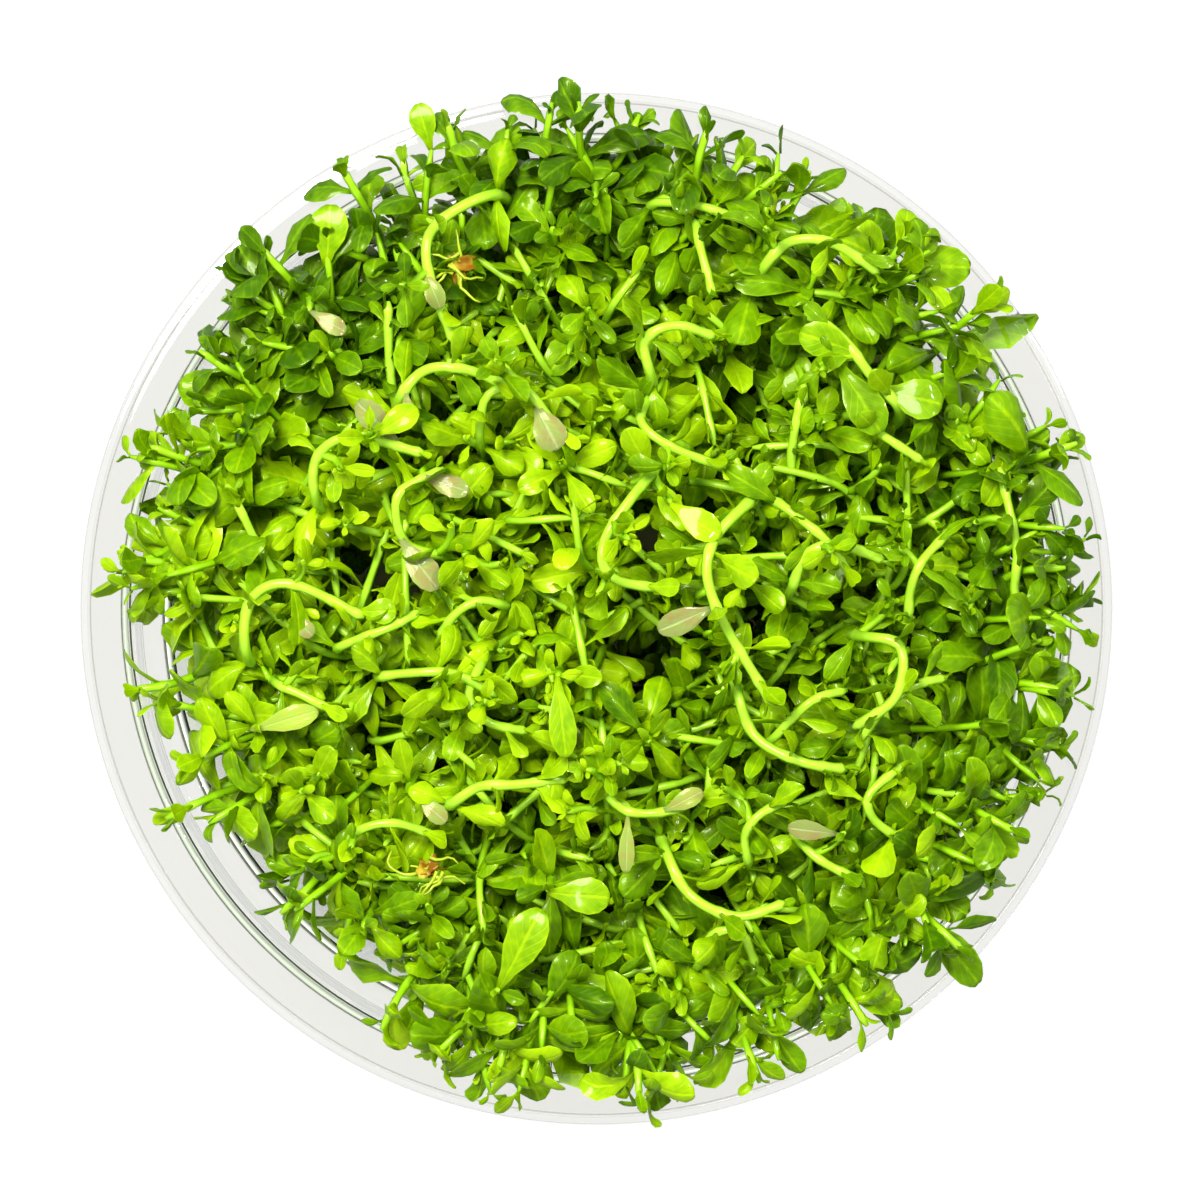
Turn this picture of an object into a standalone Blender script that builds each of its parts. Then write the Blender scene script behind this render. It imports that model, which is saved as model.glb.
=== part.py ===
"""A clear culture cup packed with dwarf rotala: the cup, its nutrient gel and the main shoots.

Metres, +Z up. The origin is on the table, under the cup's axis. The photograph looks straight
down: its right is +X and its top is +Y.
"""

import math
import random
from collections import namedtuple

import bmesh
import bpy
from mathutils import Vector
from mathutils.bvhtree import BVHTree

MM = 0.001

# Cup, as (radius, height) sizes of a thin moulding with a flange that its lid snaps over
CUP_HEIGHT = 55 * MM
FLANGE_RADIUS = 50 * MM
FLANGE_WIDTH = 4 * MM
LIP_DROP = 2.4 * MM
LEDGE_HEIGHT = 48 * MM
LEDGE_RADIUS = 44.4 * MM
BODY_TOP_RADIUS = 42.5 * MM
BODY_FOOT_RADIUS = 36.2 * MM
BODY_FOOT_HEIGHT = 3 * MM
WALL = 0.8 * MM
FLOOR = 1.6 * MM
CUP_SIDES = 36

# Gel
GAP = 0.3 * MM
GEL_TOP = 13 * MM

# Shoots
ROOT_HEIGHT = GEL_TOP + GAP
STEM_FOOT_RADIUS = 0.72 * MM
STEM_TIP_RADIUS = 0.46 * MM
NODE_LENGTH = 1.2 * MM
LEAF_LENGTH = 7.6 * MM
LEAF_WIDTH_SHARE = 0.58
LEAF_THICKNESS = 0.36 * MM
LEAF_WIDEST_AT = 0.62
LEAF_TIP_WIDTH_SHARE = 0.42
LEAF_DROOP = math.radians(16)
LEAF_GAP = 0.24 * MM
LEAF_FREE_FROM = 0.18
LEAF_SIZES = (1.0, 0.85, 0.7)
LEAF_TURNS = (0, 14, -14, 28, -28, 42)
PATH_STEP = 0.5 * MM

# Rise of each leaf pair above square to the stem, and its size, counted from the tip down
PAIR_RISE = (math.radians(52), math.radians(24), math.radians(12), math.radians(6))
PAIR_SIZE = (0.66, 0.96, 1.04, 1.0)

# Shoots that lean over the rim: bearing in degrees from +X, reach of the tip from the axis
# and height of the tip over the rim, in millimetres
RIM_TIPS = (
    (5, 45.3, 4.0),
    (19, 48.8, 5.5),
    (38, 48.6, 5.0),
    (50, 47.6, 4.0),
    (64, 46.8, 4.5),
    (77, 47.2, 5.5),
    (92, 48.6, 6.5),
    (107, 48.8, 6.0),
    (120, 48.9, 5.5),
    (133, 47.6, 4.5),
    (147, 45.6, 4.0),
    (160, 45.8, 3.5),
    (174, 45.4, 3.0),
    (190, 45.4, 3.0),
    (206, 46.2, 2.6),
    (224, 42.4, 2.0),
    (243, 45.6, 3.0),
    (258, 45.8, 3.5),
    (275, 47.4, 4.5),
    (289, 48.2, 4.5),
    (303, 47.8, 4.5),
    (317, 48.4, 4.0),
    (332, 46.0, 4.0),
    (350, 45.6, 4.0),
)

# Stems that arch over the top of the mass, as (x, y, height over the rim) in millimetres,
# from where each one comes up between the others to its own tip
ARCHES = (
    ((5.8, 13.6, 5.0), (0.9, 6.8, 9.5), (1.5, 3.0, 9.5), (7.2, 1.8, 7.4)),
    ((15.2, 10.8, 5.0), (11.0, 6.2, 10.5), (11.2, 0.6, 11.0), (16.8, -9.2, 9.0)),
    ((13.0, -6.4, 4.0), (15.0, -12.0, 7.0), (19.5, -14.6, 8.0), (24.0, -15.4, 6.0)),
    ((6.4, -22.6, 4.5), (8.8, -27.2, 8.0), (13.3, -29.4, 8.0), (18.2, -28.2, 6.5)),
    ((-9.2, 39.8, 3.5), (-15.0, 37.0, 7.5), (-16.2, 33.0, 8.5), (-13.6, 25.4, 7.0)),
    ((-19.2, 19.0, 5.0), (-16.6, 22.6, 9.0), (-12.4, 22.8, 9.6), (-7.0, 20.6, 7.5)),
    ((-26.6, 9.8, 4.0), (-26.8, 14.2, 8.0), (-23.4, 16.4, 9.0), (-16.4, 14.8, 8.0)),
    ((15.4, 31.8, 3.5), (18.3, 35.0, 7.0), (22.4, 35.0, 7.5), (27.2, 32.2, 5.5)),
    ((-14.4, -19.0, 4.0), (-11.2, -17.0, 8.0), (-7.6, -16.8, 8.5), (-2.6, -16.2, 7.0)),
    ((-33.4, -5.0, 3.0), (-33.2, 0.6, 7.0), (-29.3, 2.4, 8.0), (-22.2, -0.8, 7.0)),
    ((5.4, 21.4, 5.0), (4.6, 25.4, 9.0), (7.4, 27.0, 9.6), (11.4, 26.0, 7.6)),
    ((18.4, 1.4, 5.0), (20.0, 5.2, 9.0), (23.4, 6.0, 9.0), (27.6, 4.6, 7.0)),
    ((25.2, -2.6, 4.0), (29.0, -3.6, 8.0), (28.6, -8.4, 8.0), (24.6, -11.4, 6.6)),
    ((29.2, 18.6, 4.0), (26.0, 22.6, 7.5), (23.4, 26.0, 7.5), (20.0, 28.4, 6.0)),
)

# Shoots that stand up between the arching ones: x and y of the tip, in millimetres
UPRIGHT_TIPS = (
    (-4.2, 36.6),
    (-0.8, 28.8),
    (21.6, 17.6),
    (35.8, 16.6),
    (-31.6, 27.0),
    (-25.6, 24.6),
    (-34.4, 17.2),
    (-12.6, 5.2),
    (-14.4, -7.4),
    (-3.6, -6.4),
    (5.0, -12.6),
    (32.4, -19.6),
    (-4.6, -27.0),
    (-22.4, -30.6),
    (-28.4, -17.6),
    (28.4, -30.4),
    (-33.0, -11.6),
    (-3.4, 13.8),
    (35.6, 0.4),
    (8.0, -36.6),
)
DOME = 7.5 * MM
DOME_RADIUS = 42 * MM
UPRIGHT_EDGE_HEIGHT = 3.0 * MM


def new_material(name, colour, roughness, metallic=0.0):
    material = bpy.data.materials.new(name)
    material.use_nodes = True
    shader = material.node_tree.nodes["Principled BSDF"]
    shader.inputs["Base Color"].default_value = (*colour, 1.0)
    shader.inputs["Roughness"].default_value = roughness
    shader.inputs["Metallic"].default_value = metallic
    return material


def turned(name, profile, material, collection):
    """A solid of revolution, from (radius, height) points that run down its outer side."""
    mesh = bpy.data.meshes.new(name)
    bm = bmesh.new()
    verts = [bm.verts.new((radius, 0.0, height)) for radius, height in profile]
    for first, second in zip(verts, verts[1:]):
        bm.edges.new((first, second))
    bm.to_mesh(mesh)
    bm.free()
    mesh.materials.append(material)
    piece = bpy.data.objects.new(name, mesh)
    collection.objects.link(piece)
    screw = piece.modifiers.new("Turn", "SCREW")
    screw.angle = 2 * math.pi
    screw.steps = CUP_SIDES
    screw.render_steps = CUP_SIDES
    screw.use_merge_vertices = True
    screw.merge_threshold = 0.01 * MM
    screw.use_smooth_shade = True
    return piece


def inner_radius(height):
    """Radius of the cup's inner wall at a height on its tapered body."""
    share = (height - BODY_FOOT_HEIGHT) / (LEDGE_HEIGHT - BODY_FOOT_HEIGHT)
    return BODY_FOOT_RADIUS + share * (BODY_TOP_RADIUS - BODY_FOOT_RADIUS) - WALL


def cup_profile():
    step_foot = LEDGE_RADIUS + WALL
    step_top = FLANGE_RADIUS - FLANGE_WIDTH
    return [
        (0.0, FLOOR),
        (inner_radius(BODY_FOOT_HEIGHT) - 1 * MM, FLOOR),
        (inner_radius(BODY_FOOT_HEIGHT), BODY_FOOT_HEIGHT),
        (inner_radius(LEDGE_HEIGHT), LEDGE_HEIGHT),
        (LEDGE_RADIUS, LEDGE_HEIGHT + 0.4 * MM),
        (step_top - WALL, CUP_HEIGHT),
        (FLANGE_RADIUS - 0.5 * MM, CUP_HEIGHT),
        (FLANGE_RADIUS, CUP_HEIGHT - 0.5 * MM),
        (FLANGE_RADIUS, CUP_HEIGHT - LIP_DROP),
        (FLANGE_RADIUS - WALL, CUP_HEIGHT - LIP_DROP),
        (FLANGE_RADIUS - WALL, CUP_HEIGHT - WALL),
        (step_top, CUP_HEIGHT - WALL),
        (step_foot, LEDGE_HEIGHT - WALL),
        (BODY_TOP_RADIUS, LEDGE_HEIGHT - WALL),
        (BODY_FOOT_RADIUS, BODY_FOOT_HEIGHT),
        (BODY_FOOT_RADIUS - 2.4 * MM, 0.0),
        (0.0, 0.0),
    ]


def gel_profile():
    foot = FLOOR + GAP
    corner = BODY_FOOT_HEIGHT + GAP
    return [
        (0.0, GEL_TOP),
        (inner_radius(GEL_TOP) - GAP, GEL_TOP),
        (inner_radius(corner) - GAP, corner),
        (inner_radius(corner) - GAP - 1.4 * MM, foot),
        (0.0, foot),
    ]


def smooth_path(points):
    """Points about PATH_STEP apart on the Catmull-Rom curve through the given points."""
    before = points[0] * 2 - points[1]
    after = points[-1] * 2 - points[-2]
    held = [before, *points, after]
    path = [points[0]]
    for a, b, c, d in zip(held, held[1:], held[2:], held[3:]):
        steps = max(1, round((c - b).length / PATH_STEP))
        for step in range(1, steps + 1):
            t = step / steps
            bend = (c - a) * t + (a * 2 - b * 5 + c * 4 - d) * t**2
            bend += (b * 3 - a - c * 3 + d) * t**3
            path.append(b + bend * 0.5)
    return path


def path_lengths(path):
    lengths = [0.0]
    for first, second in zip(path, path[1:]):
        lengths.append(lengths[-1] + (second - first).length)
    return lengths


def place_on(path, lengths, distance):
    """The point at a distance along the path, and the path's direction there."""
    distance = min(max(distance, 0.0), lengths[-1])
    index = next(i for i in range(1, len(path)) if lengths[i] >= distance - 1e-9)
    first, second = path[index - 1], path[index]
    share = (distance - lengths[index - 1]) / (lengths[index] - lengths[index - 1])
    return first.lerp(second, share), (second - first).normalized()


def polar(bearing, radius, height):
    return Vector((radius * math.cos(bearing), radius * math.sin(bearing), height))


def rim_path(tip, rng):
    """Up inside the wall, then out over the rim to the tip."""
    bearing, reach, over = math.radians(tip[0]), tip[1] * MM, tip[2] * MM
    foot = bearing + math.radians(rng.uniform(-4, 4))
    sway = math.radians(rng.uniform(-3, 3))
    root = rng.uniform(27.5, 31.0) * MM
    return smooth_path(
        [
            polar(foot, root, ROOT_HEIGHT),
            polar(foot + sway, root + 2.2 * MM, 31 * MM),
            polar(bearing + sway, reach - 9.0 * MM, CUP_HEIGHT - 5.5 * MM),
            polar(bearing, reach - 4.2 * MM, CUP_HEIGHT + over * 0.6),
            polar(bearing, reach, CUP_HEIGHT + over),
        ]
    )


def upright_path(tip, rng):
    """Up from the gel with a slight sway, fanning out towards the tip."""
    top = Vector((tip[0] * MM, tip[1] * MM, 0.0))
    share = min(1.0, top.length / DOME_RADIUS)
    height = CUP_HEIGHT + UPRIGHT_EDGE_HEIGHT + DOME * (1 - share**2)
    turn = rng.uniform(0, 2 * math.pi)
    sway = polar(turn, rng.uniform(0.6, 1.6) * MM, 0.0)
    return smooth_path(
        [
            top * 0.74 + sway * 0.5 + Vector((0, 0, ROOT_HEIGHT)),
            top * 0.80 + sway + Vector((0, 0, 30 * MM)),
            top * 0.90 - sway * 0.6 + Vector((0, 0, 46 * MM)),
            top + Vector((0, 0, height)),
        ]
    )


def arch_path(points, rng):
    """Straight up between the others, then over the top through the listed points."""
    shown = [Vector((x * MM, y * MM, CUP_HEIGHT + over * MM)) for x, y, over in points]
    start = Vector((shown[0].x, shown[0].y, 0.0))
    away = (start - Vector((shown[1].x, shown[1].y, 0.0))).normalized()
    lean = away * rng.uniform(0.4, 1.4) * MM
    return smooth_path(
        [
            start * 0.82 + lean + Vector((0, 0, ROOT_HEIGHT)),
            start * 0.90 + lean * 1.3 + Vector((0, 0, 32 * MM)),
            *shown,
        ]
    )


Kind = namedtuple("Kind", "name make_path tips pairs internode bends")


class Space:
    """What stands in the cup so far, to keep a gap between one thing and the next."""

    def __init__(self, cup):
        self.trees = [cup]
        self.stems = []
        self.leaves = []

    def takes_stem(self, line):
        """Whether a stem along this line stays clear of the wall and the other stems."""
        room = 2 * STEM_FOOT_RADIUS + GAP
        for point in line:
            if self.trees[0].find_nearest(point)[3] < STEM_FOOT_RADIUS + GAP:
                return False
        for other in self.stems:
            if any((point - held).length < room for point in line for held in other):
                return False
        return True

    def takes_leaf(self, leaf, own):
        """Whether a leaf stays clear of all but its own stem, and its outer part of that one."""
        whole = leaf.tree(LEAF_GAP, 0.0)
        if any(whole.overlap(held) for held in self.trees if held is not own):
            return False
        if leaf.tree(LEAF_GAP, LEAF_FREE_FROM).overlap(own):
            return False
        for held, at in self.leaves:
            if (at - leaf.middle).length < 2 * LEAF_LENGTH and whole.overlap(held):
                return False
        return True


def straight_runs(points):
    """The points, and others about a millimetre apart on the straight lines between them."""
    line = [points[0]]
    for first, second in zip(points, points[1:]):
        steps = max(1, round((second - first).length / MM))
        line += [first.lerp(second, step / steps) for step in range(1, steps + 1)]
    return line


def stem_of(space, name, kind, tip, rng):
    """A shoot's path, with its lengths, leaf nodes and rings. Says so if it comes too near another."""
    path = kind.make_path(tip, rng)
    lengths = path_lengths(path)
    nodes = node_places(lengths[-1], kind.pairs, kind.internode)
    rings = stem_rings(lengths[-1], nodes, kind.bends)
    line = straight_runs([place_on(path, lengths, ring)[0] for ring in rings])
    if not space.takes_stem(line):
        print("too near another:", name)
    space.stems.append(line)
    return path, lengths, nodes, rings


class Leaf:
    """One leaf: a thin blade from a foot on the stem, widest past its middle, with a blunt tip."""

    def __init__(self, foot, outward, along, length, rise, thickness=LEAF_THICKNESS):
        self.foot = foot
        self.length = length
        self.thickness = thickness
        self.side = along.cross(outward).normalized()
        self.out = outward * math.cos(rise) + along * math.sin(rise)
        self.up = self.out.cross(self.side).normalized()
        if self.up.dot(along) < 0:
            self.up.negate()
        fall = self.out * math.cos(LEAF_DROOP) - self.up * math.sin(LEAF_DROOP)
        self.middle = foot + self.out * length * LEAF_WIDEST_AT
        self.tip = self.middle + fall * length * (1 - LEAF_WIDEST_AT)

    def section(self, centre, width, thickness):
        """Four corners around a centre, keyed by side and by level."""
        return {
            (side, level): centre
            + self.side * side * width / 2
            + self.up * level * thickness / 2
            for side in (-1, 1)
            for level in (-1, 1)
        }

    def widest(self, grow=0.0):
        width = self.length * LEAF_WIDTH_SHARE + 2 * grow
        return self.section(self.middle, width, self.thickness + 2 * grow)

    def blunt_tip(self, grow=0.0):
        width = self.length * LEAF_WIDTH_SHARE * LEAF_TIP_WIDTH_SHARE + 2 * grow
        return self.section(self.tip + self.out * grow, width, 2 * grow)

    def tree(self, grow, start_share):
        """The blade from a share of its length on, grown by a gap, for testing what it meets."""
        start = self.foot + self.out * start_share * self.length
        foot = self.section(start, 0.4 * self.length * LEAF_WIDTH_SHARE, self.thickness + grow)
        corners = []
        for section in (foot, self.widest(grow), self.blunt_tip(max(grow, 0.05 * MM))):
            corners += [section[key] for key in ((-1, -1), (1, -1), (1, 1), (-1, 1))]
        faces = [(0, 3, 2, 1), (8, 9, 10, 11)]
        for ring in (0, 4):
            faces += [
                (ring + i, ring + (i + 1) % 4, ring + 4 + (i + 1) % 4, ring + 4 + i)
                for i in range(4)
            ]
        return BVHTree.FromPolygons(corners, faces)


def stem_rings(length, nodes, bends):
    """Distances along the stem of its rings: its foot, its bends and both ends of each node."""
    rings = {0.0}
    for node in nodes:
        rings |= {round(node - NODE_LENGTH / 2, 6), round(node + NODE_LENGTH / 2, 6)}
    lowest = sorted(rings)[1]
    rings |= {lowest * share for share in bends}
    return [min(ring, length) for ring in sorted(rings)]


def stem_radius(share):
    return STEM_FOOT_RADIUS + (STEM_TIP_RADIUS - STEM_FOOT_RADIUS) * share


def square_stem(name, path, lengths, rings):
    """A four-sided stem as a mesh, from a curve with a bevel along the path."""
    curve = bpy.data.curves.new(name, "CURVE")
    curve.dimensions = "3D"
    curve.bevel_depth = 1.0
    curve.bevel_resolution = 0
    curve.use_fill_caps = True
    spline = curve.splines.new("POLY")
    spline.points.add(len(rings) - 1)
    for point, ring in zip(spline.points, rings):
        place, _ = place_on(path, lengths, ring)
        point.co = (*place, 1.0)
        point.radius = stem_radius(ring / lengths[-1])
    guide = bpy.data.objects.new(name, curve)
    bpy.context.scene.collection.objects.link(guide)
    graph = bpy.context.evaluated_depsgraph_get()
    mesh = bpy.data.meshes.new_from_object(guide.evaluated_get(graph))
    bpy.data.objects.remove(guide)
    bpy.data.curves.remove(curve)
    bm = bmesh.new()
    bm.from_mesh(mesh)
    bpy.data.meshes.remove(mesh)
    bmesh.ops.remove_doubles(bm, verts=bm.verts, dist=0.01 * MM)
    bmesh.ops.recalc_face_normals(bm, faces=bm.faces)
    if bm.calc_volume(signed=True) < 0:
        bmesh.ops.reverse_faces(bm, faces=bm.faces)
    return bm


def node_sides(bm, centre, along, radius):
    """The stem's four side faces around a node."""
    found = [
        face
        for face in bm.faces
        if (face.calc_center_median() - centre).length < radius * 1.15
        and abs(face.normal.dot(along)) < 0.5
    ]
    return found[:4]


def draw_out(bm, face, leaf, along):
    """Extrudes a side face of the stem twice, into the leaf's widest part and its tip."""
    for section in (leaf.widest(), leaf.blunt_tip()):
        face = bmesh.ops.extrude_discrete_faces(bm, faces=[face])["faces"][0]
        centre = face.calc_center_median()
        for vert in face.verts:
            side = 1 if (vert.co - centre).dot(leaf.side) > 0 else -1
            level = 1 if (vert.co - centre).dot(along) > 0 else -1
            vert.co = section[side, level]
        along = leaf.up
    bmesh.ops.remove_doubles(bm, verts=face.verts, dist=0.02 * MM)


def grow_leaf(bm, space, own, face, along, length, rise):
    """Draws out the leaf at the first angle and size that find room. True if one did."""
    foot = face.calc_center_median()
    outward = (face.normal - along * face.normal.dot(along)).normalized()
    for size in LEAF_SIZES:
        for turn in LEAF_TURNS:
            leaf = Leaf(foot, outward, along, length * size, rise + math.radians(turn))
            if space.takes_leaf(leaf, own):
                draw_out(bm, face, leaf, along)
                space.leaves.append((leaf.tree(0.0, 0.0), leaf.middle))
                return True
    return False


def node_places(length, pairs, internode):
    """Distances along the stem of its leaf pairs, from the tip down."""
    places = [length - NODE_LENGTH / 2, length - NODE_LENGTH * 1.5]
    while len(places) < pairs:
        places.append(places[-1] - internode)
    return places


def leafy(bm, space, own, path, lengths, places, rng):
    """Opposite leaves at each node, each pair square to the one before it."""
    last = None
    grown = 0
    for index, place in enumerate(places):
        centre, along = place_on(path, lengths, place)
        sides = node_sides(bm, centre, along, stem_radius(place / lengths[-1]))
        if last is None:
            last = sides[0].normal.copy()
        sides.sort(key=lambda face: abs(face.normal.dot(last)))
        last = sides[0].normal.copy()
        for face in sides[:2]:
            length = LEAF_LENGTH * PAIR_SIZE[index] * rng.uniform(0.88, 1.1)
            rise = PAIR_RISE[index] + math.radians(rng.uniform(-7, 7))
            grown += grow_leaf(bm, space, own, face, along, length, rise)
    return grown


def add_object(name, bm, material, collection):
    mesh = bpy.data.meshes.new(name)
    bm.to_mesh(mesh)
    bm.free()
    mesh.materials.append(material)
    piece = bpy.data.objects.new(name, mesh)
    collection.objects.link(piece)
    return piece


def tree_of(piece):
    graph = bpy.context.evaluated_depsgraph_get()
    bm = bmesh.new()
    bm.from_mesh(piece.evaluated_get(graph).to_mesh())
    tree = BVHTree.FromBMesh(bm)
    bm.free()
    return tree


def build():
    for piece in list(bpy.data.objects):
        bpy.data.objects.remove(piece)
    collection = bpy.data.collections.new("dwarf_rotala_cup")
    bpy.context.scene.collection.children.link(collection)
    plastic = new_material("clear_plastic", (0.92, 0.93, 0.92), 0.08)
    jelly = new_material("nutrient_gel", (0.80, 0.74, 0.52), 0.2)
    green = new_material("rotala_green", (0.20, 0.42, 0.02), 0.4)

    cup = turned("culture_cup", cup_profile(), plastic, collection)
    turned("agar_gel", gel_profile(), jelly, collection)
    space = Space(tree_of(cup))

    kinds = (
        Kind("arching_shoot", arch_path, ARCHES, 4, 6.4 * MM, (0.55, 0.8)),
        Kind("rim_shoot", rim_path, RIM_TIPS, 3, 4.6 * MM, (0.62,)),
        Kind("upright_shoot", upright_path, UPRIGHT_TIPS, 4, 4.8 * MM, (0.62,)),
    )
    stems = []
    for kind in kinds:
        for number, tip in enumerate(kind.tips, 1):
            name = f"{kind.name}_{number:02d}"
            rng = random.Random(name)
            path, lengths, nodes, rings = stem_of(space, name, kind, tip, rng)
            bm = square_stem(name, path, lengths, rings)
            stems.append((name, bm, path, lengths, nodes, rng))
    own_trees = [BVHTree.FromBMesh(stem[1]) for stem in stems]
    space.trees += own_trees
    grown = 0
    for (name, bm, path, lengths, nodes, rng), own in zip(stems, own_trees):
        grown += leafy(bm, space, own, path, lengths, nodes, rng)
        add_object(name, bm, green, collection)
    print(len(stems), "shoots,", grown, "leaves")


build()
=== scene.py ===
# %% [markdown]
# # A cup packed with dwarf rotala
# The object is a clear culture cup seen from straight above, with a layer of nutrient gel in its
# foot and a few hundred small shoots rooted in the gel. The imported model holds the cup, the gel
# and the 58 main shoots as plain solids in metres. This file gives each of them its real surface:
# the same paths, carried out with fine stems, veined leaves and thin roots.

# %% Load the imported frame
import math
import random
from collections import namedtuple

import bpy
import numpy as np
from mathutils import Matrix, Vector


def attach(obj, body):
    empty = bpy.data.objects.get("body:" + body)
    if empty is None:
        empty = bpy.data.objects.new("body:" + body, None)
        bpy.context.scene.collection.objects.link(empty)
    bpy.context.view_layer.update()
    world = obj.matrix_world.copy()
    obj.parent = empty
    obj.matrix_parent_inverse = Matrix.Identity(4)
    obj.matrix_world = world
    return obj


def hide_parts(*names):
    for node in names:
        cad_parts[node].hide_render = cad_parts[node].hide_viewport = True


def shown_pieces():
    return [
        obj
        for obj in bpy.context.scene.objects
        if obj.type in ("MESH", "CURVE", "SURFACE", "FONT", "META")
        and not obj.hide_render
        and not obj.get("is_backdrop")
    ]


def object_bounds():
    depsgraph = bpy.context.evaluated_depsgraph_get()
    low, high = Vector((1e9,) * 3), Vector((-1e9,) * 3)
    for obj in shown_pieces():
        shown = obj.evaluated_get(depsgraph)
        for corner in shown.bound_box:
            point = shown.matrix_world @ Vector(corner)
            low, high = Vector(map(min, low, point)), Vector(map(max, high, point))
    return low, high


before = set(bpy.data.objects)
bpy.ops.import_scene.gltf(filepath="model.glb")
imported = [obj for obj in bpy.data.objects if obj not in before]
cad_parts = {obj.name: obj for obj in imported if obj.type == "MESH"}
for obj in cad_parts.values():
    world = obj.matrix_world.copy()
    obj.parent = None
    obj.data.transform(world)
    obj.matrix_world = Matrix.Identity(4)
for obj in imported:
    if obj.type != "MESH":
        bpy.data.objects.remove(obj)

MM = 0.001
cad_box = [[float(value) for value in corner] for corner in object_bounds()]
print("CAD box in mm:", [[round(value / MM, 1) for value in corner] for corner in cad_box])

# %% [markdown]
# ## Sizes
# Everything is worked out from the cup: its flange is 100 mm across and its rim 55 mm high. The
# same named values and path formulas made the solids, so each fine shoot lies along its solid.

# %% Named sizes
CUP_HEIGHT = 55 * MM
FLANGE_RADIUS = 50 * MM
FLANGE_WIDTH = 4 * MM
LIP_DROP = 2.4 * MM
LEDGE_HEIGHT = 48 * MM
LEDGE_RADIUS = 44.4 * MM
BODY_TOP_RADIUS = 42.5 * MM
BODY_FOOT_RADIUS = 36.2 * MM
BODY_FOOT_HEIGHT = 3 * MM
WALL = 0.8 * MM
FLOOR = 1.6 * MM
GAP = 0.3 * MM
GEL_TOP = 13 * MM
ROOT_HEIGHT = GEL_TOP + GAP
PATH_STEP = 0.5 * MM
DOME = 7.5 * MM
UPRIGHT_EDGE_HEIGHT = 3 * MM
DOME_RADIUS = 42 * MM

# Shoots that lean over the rim: bearing in degrees, reach and height over the rim in millimetres
RIM_TIPS = (
    (5, 45.3, 4.0), (19, 48.8, 5.5), (38, 48.6, 5.0), (50, 47.6, 4.0), (64, 46.8, 4.5),
    (77, 47.2, 5.5), (92, 48.6, 6.5), (107, 48.8, 6.0), (120, 48.9, 5.5), (133, 47.6, 4.5),
    (147, 45.6, 4.0), (160, 45.8, 3.5), (174, 45.4, 3.0), (190, 45.4, 3.0), (206, 46.2, 2.6),
    (224, 42.4, 2.0), (243, 45.6, 3.0), (258, 45.8, 3.5), (275, 47.4, 4.5), (289, 48.2, 4.5),
    (303, 47.8, 4.5), (317, 48.4, 4.0), (332, 46.0, 4.0), (350, 45.6, 4.0),
)

# Stems that arch over the top, as (x, y, height over the rim) in millimetres, towards their tips
ARCHES = (
    ((5.8, 13.6, 5.0), (0.9, 6.8, 9.5), (1.5, 3.0, 9.5), (7.2, 1.8, 7.4)),
    ((15.2, 10.8, 5.0), (11.0, 6.2, 10.5), (11.2, 0.6, 11.0), (16.8, -9.2, 9.0)),
    ((13.0, -6.4, 4.0), (15.0, -12.0, 7.0), (19.5, -14.6, 8.0), (24.0, -15.4, 6.0)),
    ((6.4, -22.6, 4.5), (8.8, -27.2, 8.0), (13.3, -29.4, 8.0), (18.2, -28.2, 6.5)),
    ((-9.2, 39.8, 3.5), (-15.0, 37.0, 7.5), (-16.2, 33.0, 8.5), (-13.6, 25.4, 7.0)),
    ((-19.2, 19.0, 5.0), (-16.6, 22.6, 9.0), (-12.4, 22.8, 9.6), (-7.0, 20.6, 7.5)),
    ((-26.6, 9.8, 4.0), (-26.8, 14.2, 8.0), (-23.4, 16.4, 9.0), (-16.4, 14.8, 8.0)),
    ((15.4, 31.8, 3.5), (18.3, 35.0, 7.0), (22.4, 35.0, 7.5), (27.2, 32.2, 5.5)),
    ((-14.4, -19.0, 4.0), (-11.2, -17.0, 8.0), (-7.6, -16.8, 8.5), (-2.6, -16.2, 7.0)),
    ((-33.4, -5.0, 3.0), (-33.2, 0.6, 7.0), (-29.3, 2.4, 8.0), (-22.2, -0.8, 7.0)),
    ((5.4, 21.4, 5.0), (4.6, 25.4, 9.0), (7.4, 27.0, 9.6), (11.4, 26.0, 7.6)),
    ((18.4, 1.4, 5.0), (20.0, 5.2, 9.0), (23.4, 6.0, 9.0), (27.6, 4.6, 7.0)),
    ((25.2, -2.6, 4.0), (29.0, -3.6, 8.0), (28.6, -8.4, 8.0), (24.6, -11.4, 6.6)),
    ((29.2, 18.6, 4.0), (26.0, 22.6, 7.5), (23.4, 26.0, 7.5), (20.0, 28.4, 6.0)),
)

# Shoots that stand up between them: x and y of the tip, in millimetres
UPRIGHT_TIPS = (
    (-4.2, 36.6), (-0.8, 28.8), (21.6, 17.6), (35.8, 16.6), (-31.6, 27.0), (-25.6, 24.6),
    (-34.4, 17.2), (-12.6, 5.2), (-14.4, -7.4), (-3.6, -6.4), (5.0, -12.6), (32.4, -19.6),
    (-4.6, -27.0), (-22.4, -30.6), (-28.4, -17.6), (28.4, -30.4), (-33.0, -11.6), (-3.4, 13.8),
    (35.6, 0.4), (8.0, -36.6),
)
print("main shoots:", len(RIM_TIPS) + len(ARCHES) + len(UPRIGHT_TIPS))

# %% [markdown]
# ## Trees of nodes
# The sky and each material are a tree of nodes. What several materials share, such as the colour
# of living tissue, is put in a group once. A group gives out only colours and values, and each
# material keeps its own shader.

# %% Helpers for node trees
def add_node(tree, kind, **settings):
    """A new node of a kind, with its settings."""
    node = tree.nodes.new(kind)
    for name, value in settings.items():
        setattr(node, name, value)
    return node


def put(tree, socket, given):
    """Links another node's output to the socket, or else sets the socket's own value."""
    if isinstance(given, bpy.types.NodeSocket):
        tree.links.new(given, socket)
    else:
        socket.default_value = (*given, 1.0) if isinstance(given, tuple) else given


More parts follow.
